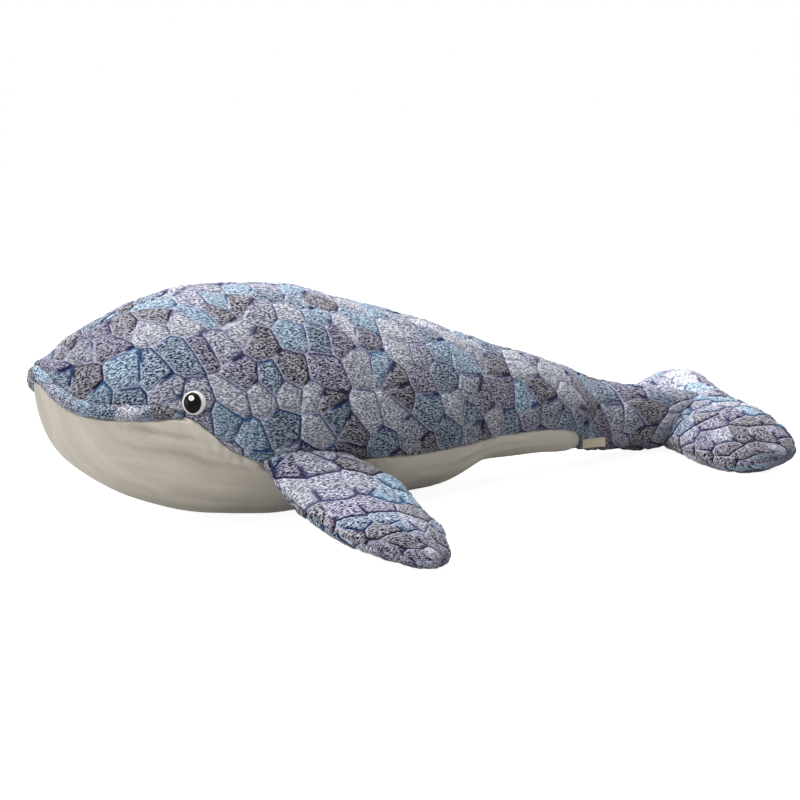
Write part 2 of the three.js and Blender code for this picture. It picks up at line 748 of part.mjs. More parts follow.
const bodyPieces = {
  body_stuffing: spine.filling.subtract(bodyOpenings).subtract(eyeRooms),
  side_panel_left: sideShell.intersect(leftHalf),
  side_panel_right: sideShell.intersect(rightHalf),
  belly_panel: bodyShell.intersect(underSeam(-SEAM_GAP / 2)).subtract(floor),
  lip_roll_cover: lipTube(LIP_RADIUS).subtract(lipTube(LIP_RADIUS - LIP_SKIN, FIT_GAP)).subtract(eyeRooms),
  lip_roll_stuffing: lipTube(LIP_RADIUS - LIP_SKIN - FIT_GAP).subtract(eyeRooms),
  back_seam_thread: backThread.subtract(bodyOpenings).subtract(underSeam(SEAM_GAP / 2)),
  underside_seam_thread: undersideThread.subtract(bodyOpenings).intersect(behind(bellyEnd + SEAM_GAP / 2)),
  throat_seam_thread_left: throatThread.intersect(leftHalf),
  throat_seam_thread_right: throatThread.intersect(rightHalf),
  belly_seam_thread: bellyThread.intersect(behind(flipperFromNose)),
};

// Care label, on the left flank where the belly panel ends

const labelFromNose = bellyEnd - LABEL_AHEAD;
const labelTop = seamHeight(bellyEnd) + LABEL_TOP_RISE;
const labelEdge = flank(labelFromNose, labelTop).point;
const labelAft = flank(labelFromNose + LABEL_LENGTH, labelTop).point.sub(labelEdge).setZ(0).normalize();
const labelFrame = frameAt(labelEdge, labelAft, UP);
const careLabel = solidOf(new THREE.BoxGeometry(LABEL_LENGTH, LABEL_HEIGHT, LABEL_THICKNESS)
  .translate(LABEL_CLEARANCE + LABEL_LENGTH / 2, -LABEL_HEIGHT / 2, LABEL_CLEARANCE + LABEL_THICKNESS / 2)
  .applyMatrix4(labelFrame));

// The toy

const finishes = Object.fromEntries(Object.entries(FINISHES).map(([name, values]) => (
  [name, new THREE.MeshStandardMaterial(values)]
)));

function finishOf(name) {
  if (name.includes('stuffing')) return finishes.filling;
  if (name.includes('thread')) return finishes.thread;
  if (name.includes('belly')) return finishes.plush;
  if (name.includes('rim')) return finishes.eyeWhite;
  if (name.includes('pupil')) return finishes.eyeBlack;
  if (name.includes('washer')) return finishes.washer;
  if (name.includes('label')) return finishes.label;
  return finishes.fleece;
}

const mirroredPieces = (pieces) => Object.fromEntries(
  Object.entries(pieces).map(([name, solid]) => [name, mirrored(solid)]),
);

function meshes(pieces, named = (name) => name) {
  return Object.entries(pieces).map(([name, solid]) => {
    const mesh = new THREE.Mesh(geometryOf(solid), finishOf(name));
    mesh.name = named(name);
    return mesh;
  });
}

// Pieces turned about a hinge line by an angle, positive for the outer end up.
function turnedAbout(hinge, angle, pieces) {
  const origin = new THREE.Vector3().setFromMatrixPosition(hinge.frame);
  const axis = new THREE.Vector3().setFromMatrixColumn(hinge.frame, 2);
  const group = new THREE.Group();
  group.position.copy(origin);
  group.quaternion.setFromAxisAngle(axis, radians(angle));
  pieces.forEach((mesh) => mesh.position.copy(origin).negate());
  return group.add(...pieces);
}

const whale = new THREE.Group();
whale.add(
  ...meshes({ ...bodyPieces, care_label: careLabel }),
  ...meshes(eyePieces, (name) => `${name}_left`),
  ...meshes(mirroredPieces(eyePieces), (name) => `${name}_right`),
  ...meshes(flipperPieces, (name) => `flipper_left_${name}`),
  ...meshes(mirroredPieces(flipperPieces), (name) => `flipper_right_${name}`),
  ...meshes(stockPieces),
  ...meshes(centrePieces, (name) => `fluke_centre_${name}`),
  ...Object.entries(flukeHinges).map(([side, hinge]) => (
    turnedAbout(hinge, FLUKE_LIFT[side], meshes(lobePieces(side), (name) => `fluke_${side}_${name}`))
  )),
);

const bounds = new THREE.Box3().setFromObject(whale, true);
whale.position.x = -(bounds.min.x + bounds.max.x) / 2;
whale.position.y = -(bounds.min.y + bounds.max.y) / 2;

export default whale;
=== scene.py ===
"""Dresses a stuffed toy whale: fleece covers with a mosaic of cells, a plush belly, a lip roll, button
eyes, seams, filling and a care label, round its frame.

Lengths are metres. The nose points towards -X, +Z is up and the toy's left side is -Y.
"""

import colorsys
import json
import math
from collections import namedtuple

import bpy
import numpy as np
from bpy.props import FloatProperty, FloatVectorProperty, PointerProperty
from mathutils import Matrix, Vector


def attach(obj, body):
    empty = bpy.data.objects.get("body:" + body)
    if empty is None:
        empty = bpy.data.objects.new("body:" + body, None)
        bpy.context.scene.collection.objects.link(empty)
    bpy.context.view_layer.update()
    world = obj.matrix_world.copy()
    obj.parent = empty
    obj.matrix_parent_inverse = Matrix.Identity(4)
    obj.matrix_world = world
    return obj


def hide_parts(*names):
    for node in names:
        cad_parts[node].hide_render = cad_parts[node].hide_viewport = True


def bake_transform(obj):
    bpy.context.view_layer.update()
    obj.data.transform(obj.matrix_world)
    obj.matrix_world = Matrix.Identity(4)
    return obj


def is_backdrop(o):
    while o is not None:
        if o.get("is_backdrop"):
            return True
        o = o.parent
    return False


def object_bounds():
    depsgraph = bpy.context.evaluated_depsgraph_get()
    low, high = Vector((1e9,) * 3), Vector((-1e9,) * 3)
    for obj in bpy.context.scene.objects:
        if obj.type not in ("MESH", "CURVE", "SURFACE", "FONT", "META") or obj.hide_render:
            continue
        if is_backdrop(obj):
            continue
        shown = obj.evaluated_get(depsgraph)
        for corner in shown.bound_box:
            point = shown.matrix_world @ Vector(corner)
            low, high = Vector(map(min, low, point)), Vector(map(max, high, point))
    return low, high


bl_info = {
    "name": "Stuffed Whale",
    "version": (1, 0, 0),
    "blender": (4, 5, 0),
    "location": "View3D > Sidebar > Whale",
    "description": "Sews the covers, belly, eyes and seams of a stuffed whale round its frame",
    "category": "Add Mesh",
}

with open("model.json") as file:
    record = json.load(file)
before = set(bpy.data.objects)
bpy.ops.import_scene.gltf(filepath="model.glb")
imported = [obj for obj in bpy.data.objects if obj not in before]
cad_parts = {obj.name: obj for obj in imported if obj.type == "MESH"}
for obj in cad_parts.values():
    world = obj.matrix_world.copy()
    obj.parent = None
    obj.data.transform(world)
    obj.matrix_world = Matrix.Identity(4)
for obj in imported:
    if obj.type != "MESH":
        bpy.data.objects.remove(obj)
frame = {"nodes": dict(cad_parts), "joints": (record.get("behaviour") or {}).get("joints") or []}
CAD_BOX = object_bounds()
JOINTS = {joint["name"]: joint for joint in frame["joints"]}
MM = 0.001
TURN = 2 * math.pi
# Each side of the toy, with 1 for the left one and -1 for the right one
SIDES = (("left", 1), ("right", -1))
PICTURE_WIDTH = 800

# Shares of the whale's length, height and half width, from the nose to the end of the spine form
WAIST_SHARE = 0.46
SPINE_SHARES = np.array([
    # from the nose, top, underside, half width
    (0, 0.7, 0.7, 0),
    (0.005, 0.75, 0.585, 0.18),
    (0.02, 0.757, 0.401, 0.416),
    (0.0563, 0.844, 0.256, 0.644),
    (0.125, 0.943, 0.118, 0.868),
    (0.206, 1, 0.035, 0.982),
    (0.294, 0.982, 0, 1),
    (0.4, 0.89, 0, 0.912),
    (0.5, 0.772, 0, 0.789),
    (0.6, 0.636, 0.082, 0.579),
    (0.7, 0.513, 0.076, 0.465),
    (0.8, 0.364, 0.036, 0.342),
    (0.875, 0.307, 0.009, 0.307),
    (0.945, 0.26, 0.013, 0.24),
    (0.985, 0.2, 0.05, 0.12),
    (1, 0.125, 0.125, 0),
])

# The mouth line and the belly seam, as shares of the length and the height
SEAM_SHARES = np.array([
    (0, 0.7), (0.0015, 0.695), (0.0045, 0.677), (0.009, 0.646), (0.0225, 0.607), (0.05, 0.586),
    (0.0775, 0.5825), (0.1085, 0.5785), (0.127, 0.563), (0.14, 0.542), (0.158, 0.485), (0.18, 0.411),
    (0.205, 0.36), (0.231, 0.322), (0.3025, 0.303), (0.386, 0.272), (0.465, 0.254), (0.55, 0.252),
    (0.656, 0.232), (0.712, 0.2), (0.738, 0.1),
])
MOUTH_CORNER_SHARE = 0.14
BELLY_END_SHARE = 0.738
TAIL_HINGE_SHARE = 0.845
EYE_SHARE = 0.1414
FLIPPER_SHARE = 0.285
FLUKE_SHARE = 0.9025

FLIPPER_SHARES = np.array([
    # span, chord, thickness, drop, sweep
    (-0.16, 0.867, 0.87, -0.14, 0),
    (0, 0.867, 0.87, 0, 0),
    (0.18, 1.04, 1, 0.4, 0.41),
    (0.36, 0.95, 1.02, 0.66, 0.59),
    (0.54, 0.84, 1.02, 0.8, 0.68),
    (0.7, 0.67, 0.96, 0.88, 0.8),
    (0.84, 0.442, 0.82, 0.94, 0.867),
    (0.94, 0.275, 0.6, 0.98, 0.939),
    (0.98, 0.17, 0.38, 0.995, 0.975),
    (1, 0, 0, 1, 1),
])
FLUKE_SHARES = np.array([
    # span, leading edge, trailing edge, thickness, droop
    (0, -0.12, 0.9, 1, 0),
    (0.13, -0.12, 0.92, 1, 0),
    (0.28, -0.1, 0.94, 0.98, 0.05),
    (0.5, -0.07, 0.96, 0.94, 0.2),
    (0.7, 0, 0.96, 0.85, 0.45),
    (0.86, 0.15, 0.93, 0.68, 0.75),
    (0.95, 0.37, 0.88, 0.45, 0.93),
    (0.985, 0.54, 0.82, 0.27, 0.98),
    (1, 0.72, 0.72, 0, 1),
])
FLUKE_HINGE_SHARE = 0.28


# Settings


def size(name, about, default):
    return FloatProperty(name=name, description=about, default=default, unit="LENGTH", precision=5)


def turn(name, about, default):
    return FloatProperty(name=name, description=about, default=math.radians(default), subtype="ANGLE")


def share(name, about, default):
    return FloatProperty(name=name, description=about, default=default, subtype="FACTOR")


def power(name, about, default):
    return FloatProperty(name=name, description=about, default=default, unit="POWER")


def paint(name, about, default):
    return FloatVectorProperty(
        name=name, description=about, default=default, subtype="COLOR_GAMMA", min=0, max=1
    )


class WhaleForm(bpy.types.PropertyGroup):
    """The spine form, its cloth and its seams."""

    length: size("Length", "Spine form from the nose to inside the flukes", 0.8)
    height: size("Height", "Highest point of the back", 0.228)
    half_width: size("Half width", "Widest place of the body to its middle", 0.114)
    rest_cut: size("Rest cut", "How far the belly is pressed flat", 0.0005)
    cloth: size("Cloth", "Thickness of the cover's cloth", 0.0024)
    fit_gap: size("Fit gap", "Room between the cloth and the filling", 0.0006)
    seam_gap: size("Seam gap", "Half the gap between two sewn edges", 0.0004)
    seam_width: size("Seam width", "How wide the cloth turns in at a seam", 0.0055)
    seam_depth: size("Seam depth", "How deep the cloth turns in at a seam", 0.0028)
    pucker: size("Pucker", "Height of the puckers along a seam", 0.0007)
    lump: size("Lump", "Height of the lumps of the filling", 0.0009)
    fold: size("Fold", "Depth of the belly's folds", 0.004)
    belly_round: size("Belly end", "Length of the belly panel's rounded end", 0.027)
    lip_radius: size("Lip radius", "Radius of the lip roll", 0.0075)
    lip_sink: size("Lip sink", "How deep the lip roll's middle lies", 0.002)


class WhaleLimbs(bpy.types.PropertyGroup):
    """The flippers and the flukes."""

    flipper_out: size("Flipper root", "Flipper's root line outside the flank", 0.0014)
    flipper_fall: size("Flipper fall", "Flipper's root line under the belly seam", 0.0015)
    flipper_yaw: turn("Flipper yaw", "Turn of the root chord about the vertical", 3.7)
    flipper_pitch: turn("Flipper pitch", "Nose-up turn of the root chord", 6.4)
    flipper_hang: turn("Flipper hang", "How far the flipper's root points down", 30)
    flipper_span: size("Flipper span", "Root to tip across", 0.155)
    flipper_chord: size("Flipper chord", "Front to back", 0.12)
    flipper_thickness: size("Flipper thickness", "Top to bottom", 0.038)
    flipper_drop: size("Flipper drop", "Root to tip down", 0.058)
    flipper_sweep: size("Flipper sweep", "Root to tip back", 0.049)
    fluke_rise: size("Fluke rise", "Fluke's middle over the stock's underside", 0.0153)
    fluke_yaw: turn("Fluke yaw", "Turn of the flukes about the vertical", 14)
    fluke_pitch: turn("Fluke pitch", "Tilt of the flukes' rear edge down", 16)
    fluke_half_span: size("Fluke half span", "Middle to tip", 0.15)
    fluke_chord: size("Fluke chord", "Front to back", 0.102)
    fluke_thickness: size("Fluke thickness", "Top to bottom", 0.05)
    fluke_droop: size("Fluke droop", "How far the tips hang", 0.018)
    fluke_lift: turn("Right lobe lift", "How far the right lobe is folded up", 13)


class WhaleEyes(bpy.types.PropertyGroup):
    """The button eyes."""

    rise: size("Rise", "Eye's middle over the mouth's corner", 0.0162)
    radius: size("Radius", "White button", 0.011)
    dome: size("Dome", "Height of the button's dome", 0.0048)
    rim_share: share("Rim share", "Share of the dome's height lost at its rim", 0.75)
    seat: size("Seat", "Depth of the button's flat back under the cloth's skin", 0.001)
    pupil_width: size("Pupil half width", "Front to back", 0.0075)
    pupil_height: size("Pupil half height", "Top to bottom", 0.0092)
    pupil_forward: size("Pupil forward", "Pupil's middle in front of the button's", 0.0018)
    pupil_proud: size("Pupil proud", "How far the pupil stands out of the button", 0.0006)
    pupil_depth: size("Pupil depth", "How deep the pupil is let in", 0.0016)
    post_radius: size("Post radius", "The post behind the button", 0.0025)
    post_length: size("Post length", "The post behind the button", 0.015)
    # The glint is a painted highlight: a white dot on the pupil
    glint_radius: size("Glint radius", "White dot on the pupil", 0.0026)
    glint_forward: size("Glint forward", "White dot's middle in front of the pupil's", 0.0012)
    glint_rise: size("Glint rise", "White dot's middle over the pupil's", 0.0044)


class WhaleLabel(bpy.types.PropertyGroup):
    """The care label sewn in over the end of the belly panel."""

    ahead: size("Ahead", "Sewn edge ahead of the belly panel's end", 0.0064)
    rise: size("Rise", "Top edge over the seam there", 0.0112)
    length: size("Length", "Free length", 0.029)
    height: size("Height", "Width of the ribbon", 0.0105)
    thickness: size("Thickness", "Thickness of the ribbon", 0.0005)
    clearance: size("Clearance", "Gap to the flank", 0.0008)
    curl: size("Curl", "How far the free end stands off", 0.0022)
    wave: size("Wave", "Height of the ribbon's waves", 0.0009)
    sag: size("Sag", "How far the free end hangs", 0.0008)


class WhaleFinish(bpy.types.PropertyGroup):
    """Colours and textures."""

    cell: size("Cell", "Mean width of a cell of the mosaic", 0.029)
    tail_cell: size("Fluke cell", "Mean width of a cell on the flukes", 0.025)
    lip_cell: size("Lip cell", "Mean width of a patch on the lip roll", 0.019)
    cell_groove: size("Cell groove", "Depth of the line between cells", 0.0012)
    night: paint("Night", "Darkest cells", (0.31, 0.29, 0.37))
    plum: paint("Plum", "Purple cells", (0.41, 0.39, 0.54))
    slate: paint("Slate", "Slate blue cells", (0.41, 0.50, 0.63))
    sky: paint("Sky", "Sky blue cells", (0.58, 0.70, 0.82))
    heather: paint("Heather", "Grey lavender cells", (0.63, 0.64, 0.73))
    mist: paint("Mist", "Palest cells", (0.77, 0.78, 0.84))
    plush: paint("Plush", "Belly", (0.87, 0.835, 0.775))
    thread: paint("Thread", "Sewing thread", (0.20, 0.20, 0.38))
    eye_white: paint("Eye white", "Button", (0.93, 0.925, 0.91))
    eye_black: paint("Eye black", "Pupil", (0.035, 0.033, 0.035))
    washer: paint("Washer", "Locking washer behind an eye", (0.86, 0.86, 0.85))
    label: paint("Label", "Ribbon", (0.83, 0.76, 0.66))
    fibre: paint("Fibre", "Filling", (0.93, 0.92, 0.89))


class WhaleStage(bpy.types.PropertyGroup):
    """The camera, the lamps and the floor."""

    azimuth: turn("Azimuth", "Turn of the view about the vertical", -30)
    elevation: turn("Elevation", "Height of the view over the horizon", 13)
    distance: size("Distance", "Camera to the point that it looks at", 2.0)
    look_from_nose: size("Look from nose", "Point looked at, from the nose", 0.3851)
    look_height: size("Look height", "Point looked at, over the floor", 0.0912)
    focus_pixels: FloatProperty(
        name="Focal length", description="In pixels of the picture", default=1961, subtype="PIXEL"
    )
    key: power("Key", "Power of the lamp overhead", 34)
    fill: power("Fill", "Power of the lamp in front", 17)
    rim: power("Rim", "Power of the lamp behind", 27)
    sky: share("Sky", "Strength of the light from all round", 0.17)


# Curves and grids


def smooth_curve(knots, values):
    """A function through the points that never overshoots them. Between two points it is the cubic
    whose slope at each point is the harmonic mean of the straight slopes on its two sides."""
    slopes = np.diff(values) / np.diff(knots)
    before = np.concatenate([slopes[:1], slopes])
    after = np.concatenate([slopes, slopes[-1:]])
    total = np.where(before * after > 0, before + after, 1)
    tangents = np.where(before * after > 0, 2 * before * after / total, 0)

    def at(x):
        x = np.asarray(x, float)
        i = np.clip(np.searchsorted(knots, x, side="right") - 1, 0, len(knots) - 2)
        gap = knots[i + 1] - knots[i]
        t = (x - knots[i]) / gap
        rise = values[i + 1] - values[i]
        bend = (1 - t) * (tangents[i] * gap - rise) + t * (rise - tangents[i + 1] * gap)
        return values[i] + t * rise + t * (1 - t) * bend

    return at


def smooth_curves(table, knots):
    """A smooth curve for each column of a table but its first."""
    return [smooth_curve(knots, table[:, column]) for column in range(1, table.shape[1])]


SPINE_CURVES = smooth_curves(SPINE_SHARES, np.sqrt(SPINE_SHARES[:, 0]))
SEAM_CURVE = smooth_curves(SEAM_SHARES, SEAM_SHARES[:, 0])[0]
FLIPPER_CURVES = smooth_curves(FLIPPER_SHARES, FLIPPER_SHARES[:, 0])
FLUKE_CURVES = smooth_curves(FLUKE_SHARES, FLUKE_SHARES[:, 0])


def step(x, low, high):
    """0 below low and 1 above high, with the cubic 3t^2 - 2t^3 between them."""
    t = np.clip((x - low) / (high - low), 0, 1)
    return t * t * (3 - 2 * t)


def bump(x, width):
    """A bell, 1 at 0, that falls by the exponential of the square of x over the width."""
    return np.exp(-np.square(x / width))


def crowded(start, stop, count, places, width, extra):
    """Rising values from start to stop, closer together round some places: equal steps of the
    summed density, which is 1 plus an extra bell at each place."""
    fine = np.linspace(start, stop, 5000)
    density = 1 + sum(extra * bump(fine - place, width) for place in places)
    total = np.concatenate([[0], np.cumsum((density[1:] + density[:-1]) / 2)])
    return np.interp(np.linspace(0, total[-1], count), total, fine)


def unit(vectors):
    """Vectors brought to a length of 1."""
    return vectors / np.maximum(np.linalg.norm(vectors, axis=-1, keepdims=True), 1e-12)


def outwards(grid):
    """The unit normal at each point of a grid: the way along a row crossed with the way from row to row."""
    return unit(np.cross(np.gradient(grid, axis=1), np.gradient(grid, axis=0)))


def lengths(points, axis):
    """The length along one direction of a grid, from its first point."""
    steps = np.linalg.norm(np.diff(points, axis=axis), axis=-1)
    return np.insert(np.cumsum(steps, axis=axis), 0, 0, axis=axis)


def distance_to(line, points):
    """The distance from each point to the nearest point of a line of points, from the squared
    lengths and the dot products of the two sets."""
    flat = points.reshape(-1, 3)
    squares = (flat**2).sum(1)[:, None] + (line**2).sum(1)[None] - 2 * flat @ line.T
    return np.sqrt(np.maximum(squares.min(1), 0)).reshape(points.shape[:-1])


def ripples(points, wavelength, seed, waves=7):
    """Smooth noise between about -1 and 1: the mean of sine waves of nearly one wavelength, in
    directions and phases drawn from a seeded generator."""
    draw = np.random.default_rng(seed)
    ways = unit(draw.normal(size=(waves, points.shape[-1]))) * draw.uniform(0.75, 1.3, (waves, 1))
    phases = draw.uniform(0, 2 * math.pi, waves)
    return np.sin(points @ ways.T * (2 * math.pi / wavelength) + phases).sum(-1) / math.sqrt(waves)


def seam_dip(distance, width, depth):
    """How deep cloth turns in at a seam: a quarter of an ellipse, depth at the seam, 0 at the width."""
    t = np.clip(distance / width, 0, 1)
    return depth * (1 - np.sqrt(1 - np.square(1 - t)))


# Meshes


def build(name, points, quads, triangles, cloth=None, flat_from=None):
    """A mesh object from arrays of points, four-cornered and three-cornered faces. cloth is each
    point's place on the flat cloth, and triangles from flat_from on are shaded flat."""
    mesh = bpy.data.meshes.new(name)
    mesh.vertices.add(len(points))
    mesh.vertices.foreach_set("co", points.astype(np.float32).ravel())
    corners = np.concatenate([quads.ravel(), triangles.ravel()]).astype(np.int32)
    counts = np.concatenate([np.full(len(quads), 4), np.full(len(triangles), 3)])
    mesh.loops.add(len(corners))
    mesh.loops.foreach_set("vertex_index", corners)
    mesh.polygons.add(len(counts))
    mesh.polygons.foreach_set("loop_start", (np.cumsum(counts) - counts).astype(np.int32))
    smooth = np.ones(len(counts), bool)
    if flat_from is not None:
        smooth[len(quads) + flat_from:] = False
    mesh.polygons.foreach_set("use_smooth", smooth)
    mesh.update(calc_edges=True)
    if cloth is not None:
        mesh.attributes.new("cloth", "FLOAT_VECTOR", "POINT").data.foreach_set(
            "vector", cloth.astype(np.float32).ravel()
        )
    piece = bpy.data.objects.new(name, mesh)
    bpy.context.scene.collection.objects.link(piece)
    return piece


def grid_quads(rows, columns, start=0, closed=False):
    """Faces of a grid whose points are numbered row by row, each facing the way of outwards."""
    i, j = np.meshgrid(np.arange(rows - 1), np.arange(columns - (0 if closed else 1)), indexing="ij")
    after = (j + 1) % columns
    corners = [i * columns + j, i * columns + after, (i + 1) * columns + after, (i + 1) * columns + j]
    return start + np.stack(corners, -1).reshape(-1, 4)


def border(rows, columns, start=0):
    """The numbers of a grid's border points, once round it and back at the first."""
    number = start + np.arange(rows * columns).reshape(rows, columns)
    return np.concatenate([
        number[0, :-1], number[:-1, -1], number[-1, :0:-1], number[:0:-1, 0], number[0, :1],
    ])


# Rows and columns of the pieces' grids. Those of panels are a multiple of COARSE plus 1, as the cloth's
# inner side has every fourth point of its outer side.
COARSE = 4
SIDE_GRID = (433, 149)
BELLY_GRID = (321, 161)
LIMB_GRID = (117, 89)
RIBBON_GRID = (41, 17)
LIP_GRID = (421, 44)
BODY_FILLING_GRID = (181, 96)
LIMB_FILLING_GRID = (33, 40)


def panel(name, outer, under, cloth, mirror=False):
    """A closed piece of cloth: the outer grid, every fourth point of the grid under it, turned over,
    and a rim of triangles that joins their borders."""
    if mirror:
        outer, under, cloth = (grid[:, ::-1] for grid in (outer, under, cloth))
    rows, columns = outer.shape[:2]
    inner = under[::COARSE, ::COARSE]
    start = rows * columns
    quads = np.concatenate([
        grid_quads(rows, columns),
        grid_quads(*inner.shape[:2], start)[:, ::-1],
    ])
    rim, base = border(rows, columns), border(*inner.shape[:2], start)
    spans = np.arange(len(rim) - 1)
    fans = np.stack([rim[spans + 1], rim[spans], base[spans // COARSE]], -1)
    knots = np.arange(len(base) - 1)
    ends = np.stack([base[knots], base[knots + 1], rim[(knots + 1) * COARSE]], -1)
    points = np.concatenate([outer.reshape(-1, 3), inner.reshape(-1, 3)])
    places = np.concatenate([cloth.reshape(-1, 3), cloth[::COARSE, ::COARSE].reshape(-1, 3)])
    return build(name, points, quads, np.concatenate([fans, ends]), places, flat_from=0)


def closed_form(rings, first, last, start=0):
    """(points, quads, triangles) of closed rings of points between two pole points."""
    rows, sides = rings.shape[:2]
    points = np.concatenate([rings.reshape(-1, 3), [first], [last]])
    j = np.arange(sides)
    after = (j + 1) % sides
    front, back = start + rows * sides, start + rows * sides + 1
    tail = start + (rows - 1) * sides
    caps = np.concatenate([
        np.stack([np.full(sides, front), start + after, start + j], -1),
        np.stack([np.full(sides, back), tail + j, tail + after], -1),
    ])
    return points, grid_quads(rows, sides, start, closed=True), caps


def closed_piece(name, *forms, cloth=None):
    """One mesh of closed forms, each (rings, first pole, last pole)."""
    points, quads, triangles, start = [], [], [], 0
    for rings, first, last in forms:
        made = closed_form(rings, first, last, start)
        points.append(made[0])
        quads.append(made[1])
        triangles.append(made[2])
        start += len(made[0])
    return build(name, np.concatenate(points), np.concatenate(quads), np.concatenate(triangles), cloth)


def flipped(points):
    """Points moved to the other side of the middle plane."""
    return points * np.array([1, -1, 1])


def on_left(points):
    """Points of the right side moved to the left one."""
    return np.where(points[..., 1:2] > 0, flipped(points), points)


def round_angles(count):
    """Equal steps of a whole turn."""
    return np.arange(count) / count * TURN


# Node trees


class Wire:
    """An output socket, with arithmetic that adds Math nodes to its tree."""

    def __init__(self, board, socket):
        self.board = board
        self.socket = socket

    def other(self, name):
        return Wire(self.board, self.socket.node.outputs[name])

    def reckon(self, operation, *values):
        return self.board.add("ShaderNodeMath", {"operation": operation}, dict(enumerate(values)))

    def sine(self):
        return self.reckon("SINE", self)

    def magnitude(self):
        return self.reckon("ABSOLUTE", self)

    def greater(self, value):
        return self.reckon("MAXIMUM", self, value)

    def __add__(self, value):
        return self.reckon("ADD", self, value)

    def __radd__(self, value):
        return self.reckon("ADD", value, self)

    def __sub__(self, value):
        return self.reckon("SUBTRACT", self, value)

    def __rsub__(self, value):
        return self.reckon("SUBTRACT", value, self)

    def __mul__(self, value):
        return self.reckon("MULTIPLY", self, value)

    def __rmul__(self, value):
        return self.reckon("MULTIPLY", value, self)


class Board:
    """A node tree being wired up."""

    def __init__(self, tree):
        self.tree = tree

    def add(self, kind, settings=None, sockets=None, output=0):
        """A node of one type. Its settings are set first, a ramp's stops among them, then the values
        or wires of its input sockets by name or number."""
        node = self.tree.nodes.new(kind)
        for name, value in (settings or {}).items():
            if name == "stops":
                self.set_stops(node.color_ramp, *value)
            else:
                setattr(node, name, value)
        for key, value in (sockets or {}).items():
            if isinstance(value, Wire):
                self.tree.links.new(value.socket, node.inputs[key])
            else:
                node.inputs[key].default_value = value
        return Wire(self, node.outputs[output]) if len(node.outputs) else node

    @staticmethod
    def set_stops(ramp, stops, interpolation):
        ramp.interpolation = interpolation
        while len(ramp.elements) < len(stops):
            ramp.elements.new(1)
        for element, (place, colour) in zip(ramp.elements, stops):
            element.position = place
            element.color = colour

    def bands(self, value, stops):
        """A ramp that goes from colour to colour in steps."""
        return self.add("ShaderNodeValToRGB", {"stops": (stops, "CONSTANT")}, {0: value})

    def on_cloth(self):
        """The place on the flat cloth."""
        return self.add("ShaderNodeAttribute", {"attribute_name": "cloth"}, output="Vector")

    def on_object(self):
        """The place in the piece's own frame."""
        return self.add("ShaderNodeTexCoord", output="Object")

    def span(self, value, low, high, to_low=0.0, to_high=1.0):
        """A value's way from low to high, smoothed, as a value from to_low to to_high."""
        return self.add(
            "ShaderNodeMapRange",
            {"interpolation_type": "SMOOTHSTEP"},
            {"Value": value, "From Min": low, "From Max": high, "To Min": to_low, "To Max": to_high},
        )

    def blend(self, factor, first, second):
        return self.add("ShaderNodeMix", {"data_type": "RGBA"}, {0: factor, 6: first, 7: second}, output=2)

    def shades(self, factor, colour, below, above):
        """A colour, made darker by one share where a factor is 0 and lighter by another where it is 1."""
        return self.blend(factor, linear(darker(colour, below)), linear(lighter(colour, above)))

    def vector(self, operation, *values, output=0):
        settings = {"operation": operation}
        return self.add("ShaderNodeVectorMath", settings, dict(enumerate(values)), output)

    def noise(self, place, scale, detail=2.0, roughness=0.5, distortion=0.0):
        return self.add("ShaderNodeTexNoise", None, {
            "Vector": place, "Scale": scale, "Detail": detail, "Roughness": roughness,
            "Distortion": distortion,
        })


def linear(colour, alpha=1.0):
    """A colour as it is seen, as the linear values that shaders use: the usual screen curve undone."""
    seen = np.array(colour, float)
    values = np.where(seen > 0.04045, ((seen + 0.055) / 1.055) ** 2.4, seen / 12.92)
    return (*values, alpha)


def lighter(colour, amount):
    """A colour moved a share of the way to white."""
    return tuple(1 - (1 - value) * (1 - amount) for value in colour)


def darker(colour, amount):
    """A colour moved a share of the way to black."""
    return tuple(value * (1 - amount) for value in colour)


def new_material(name):
    """An empty material and the board of its node tree."""
    material = bpy.data.materials.new(name)
    material.use_nodes = True
    material.node_tree.nodes.clear()
    return material, Board(material.node_tree)


def surface(board, sockets, height=None, distance=MM, strength=1.0):
    """A Principled surface, with a height over the surface as its bump."""
    if height is not None:
        sockets = {**sockets, "Normal": board.add("ShaderNodeBump", None, {
            "Strength": strength, "Distance": distance, "Height": height,
        })}
    shader = board.add("ShaderNodeBsdfPrincipled", None, sockets)
    board.add("ShaderNodeOutputMaterial", None, {"Surface": shader})


def cell_settings(feature):
    return {"voronoi_dimensions": "2D", "feature": feature}


# How irregular the cells are, from 0 for squares to 1
CELL_RANDOMNESS = 0.88


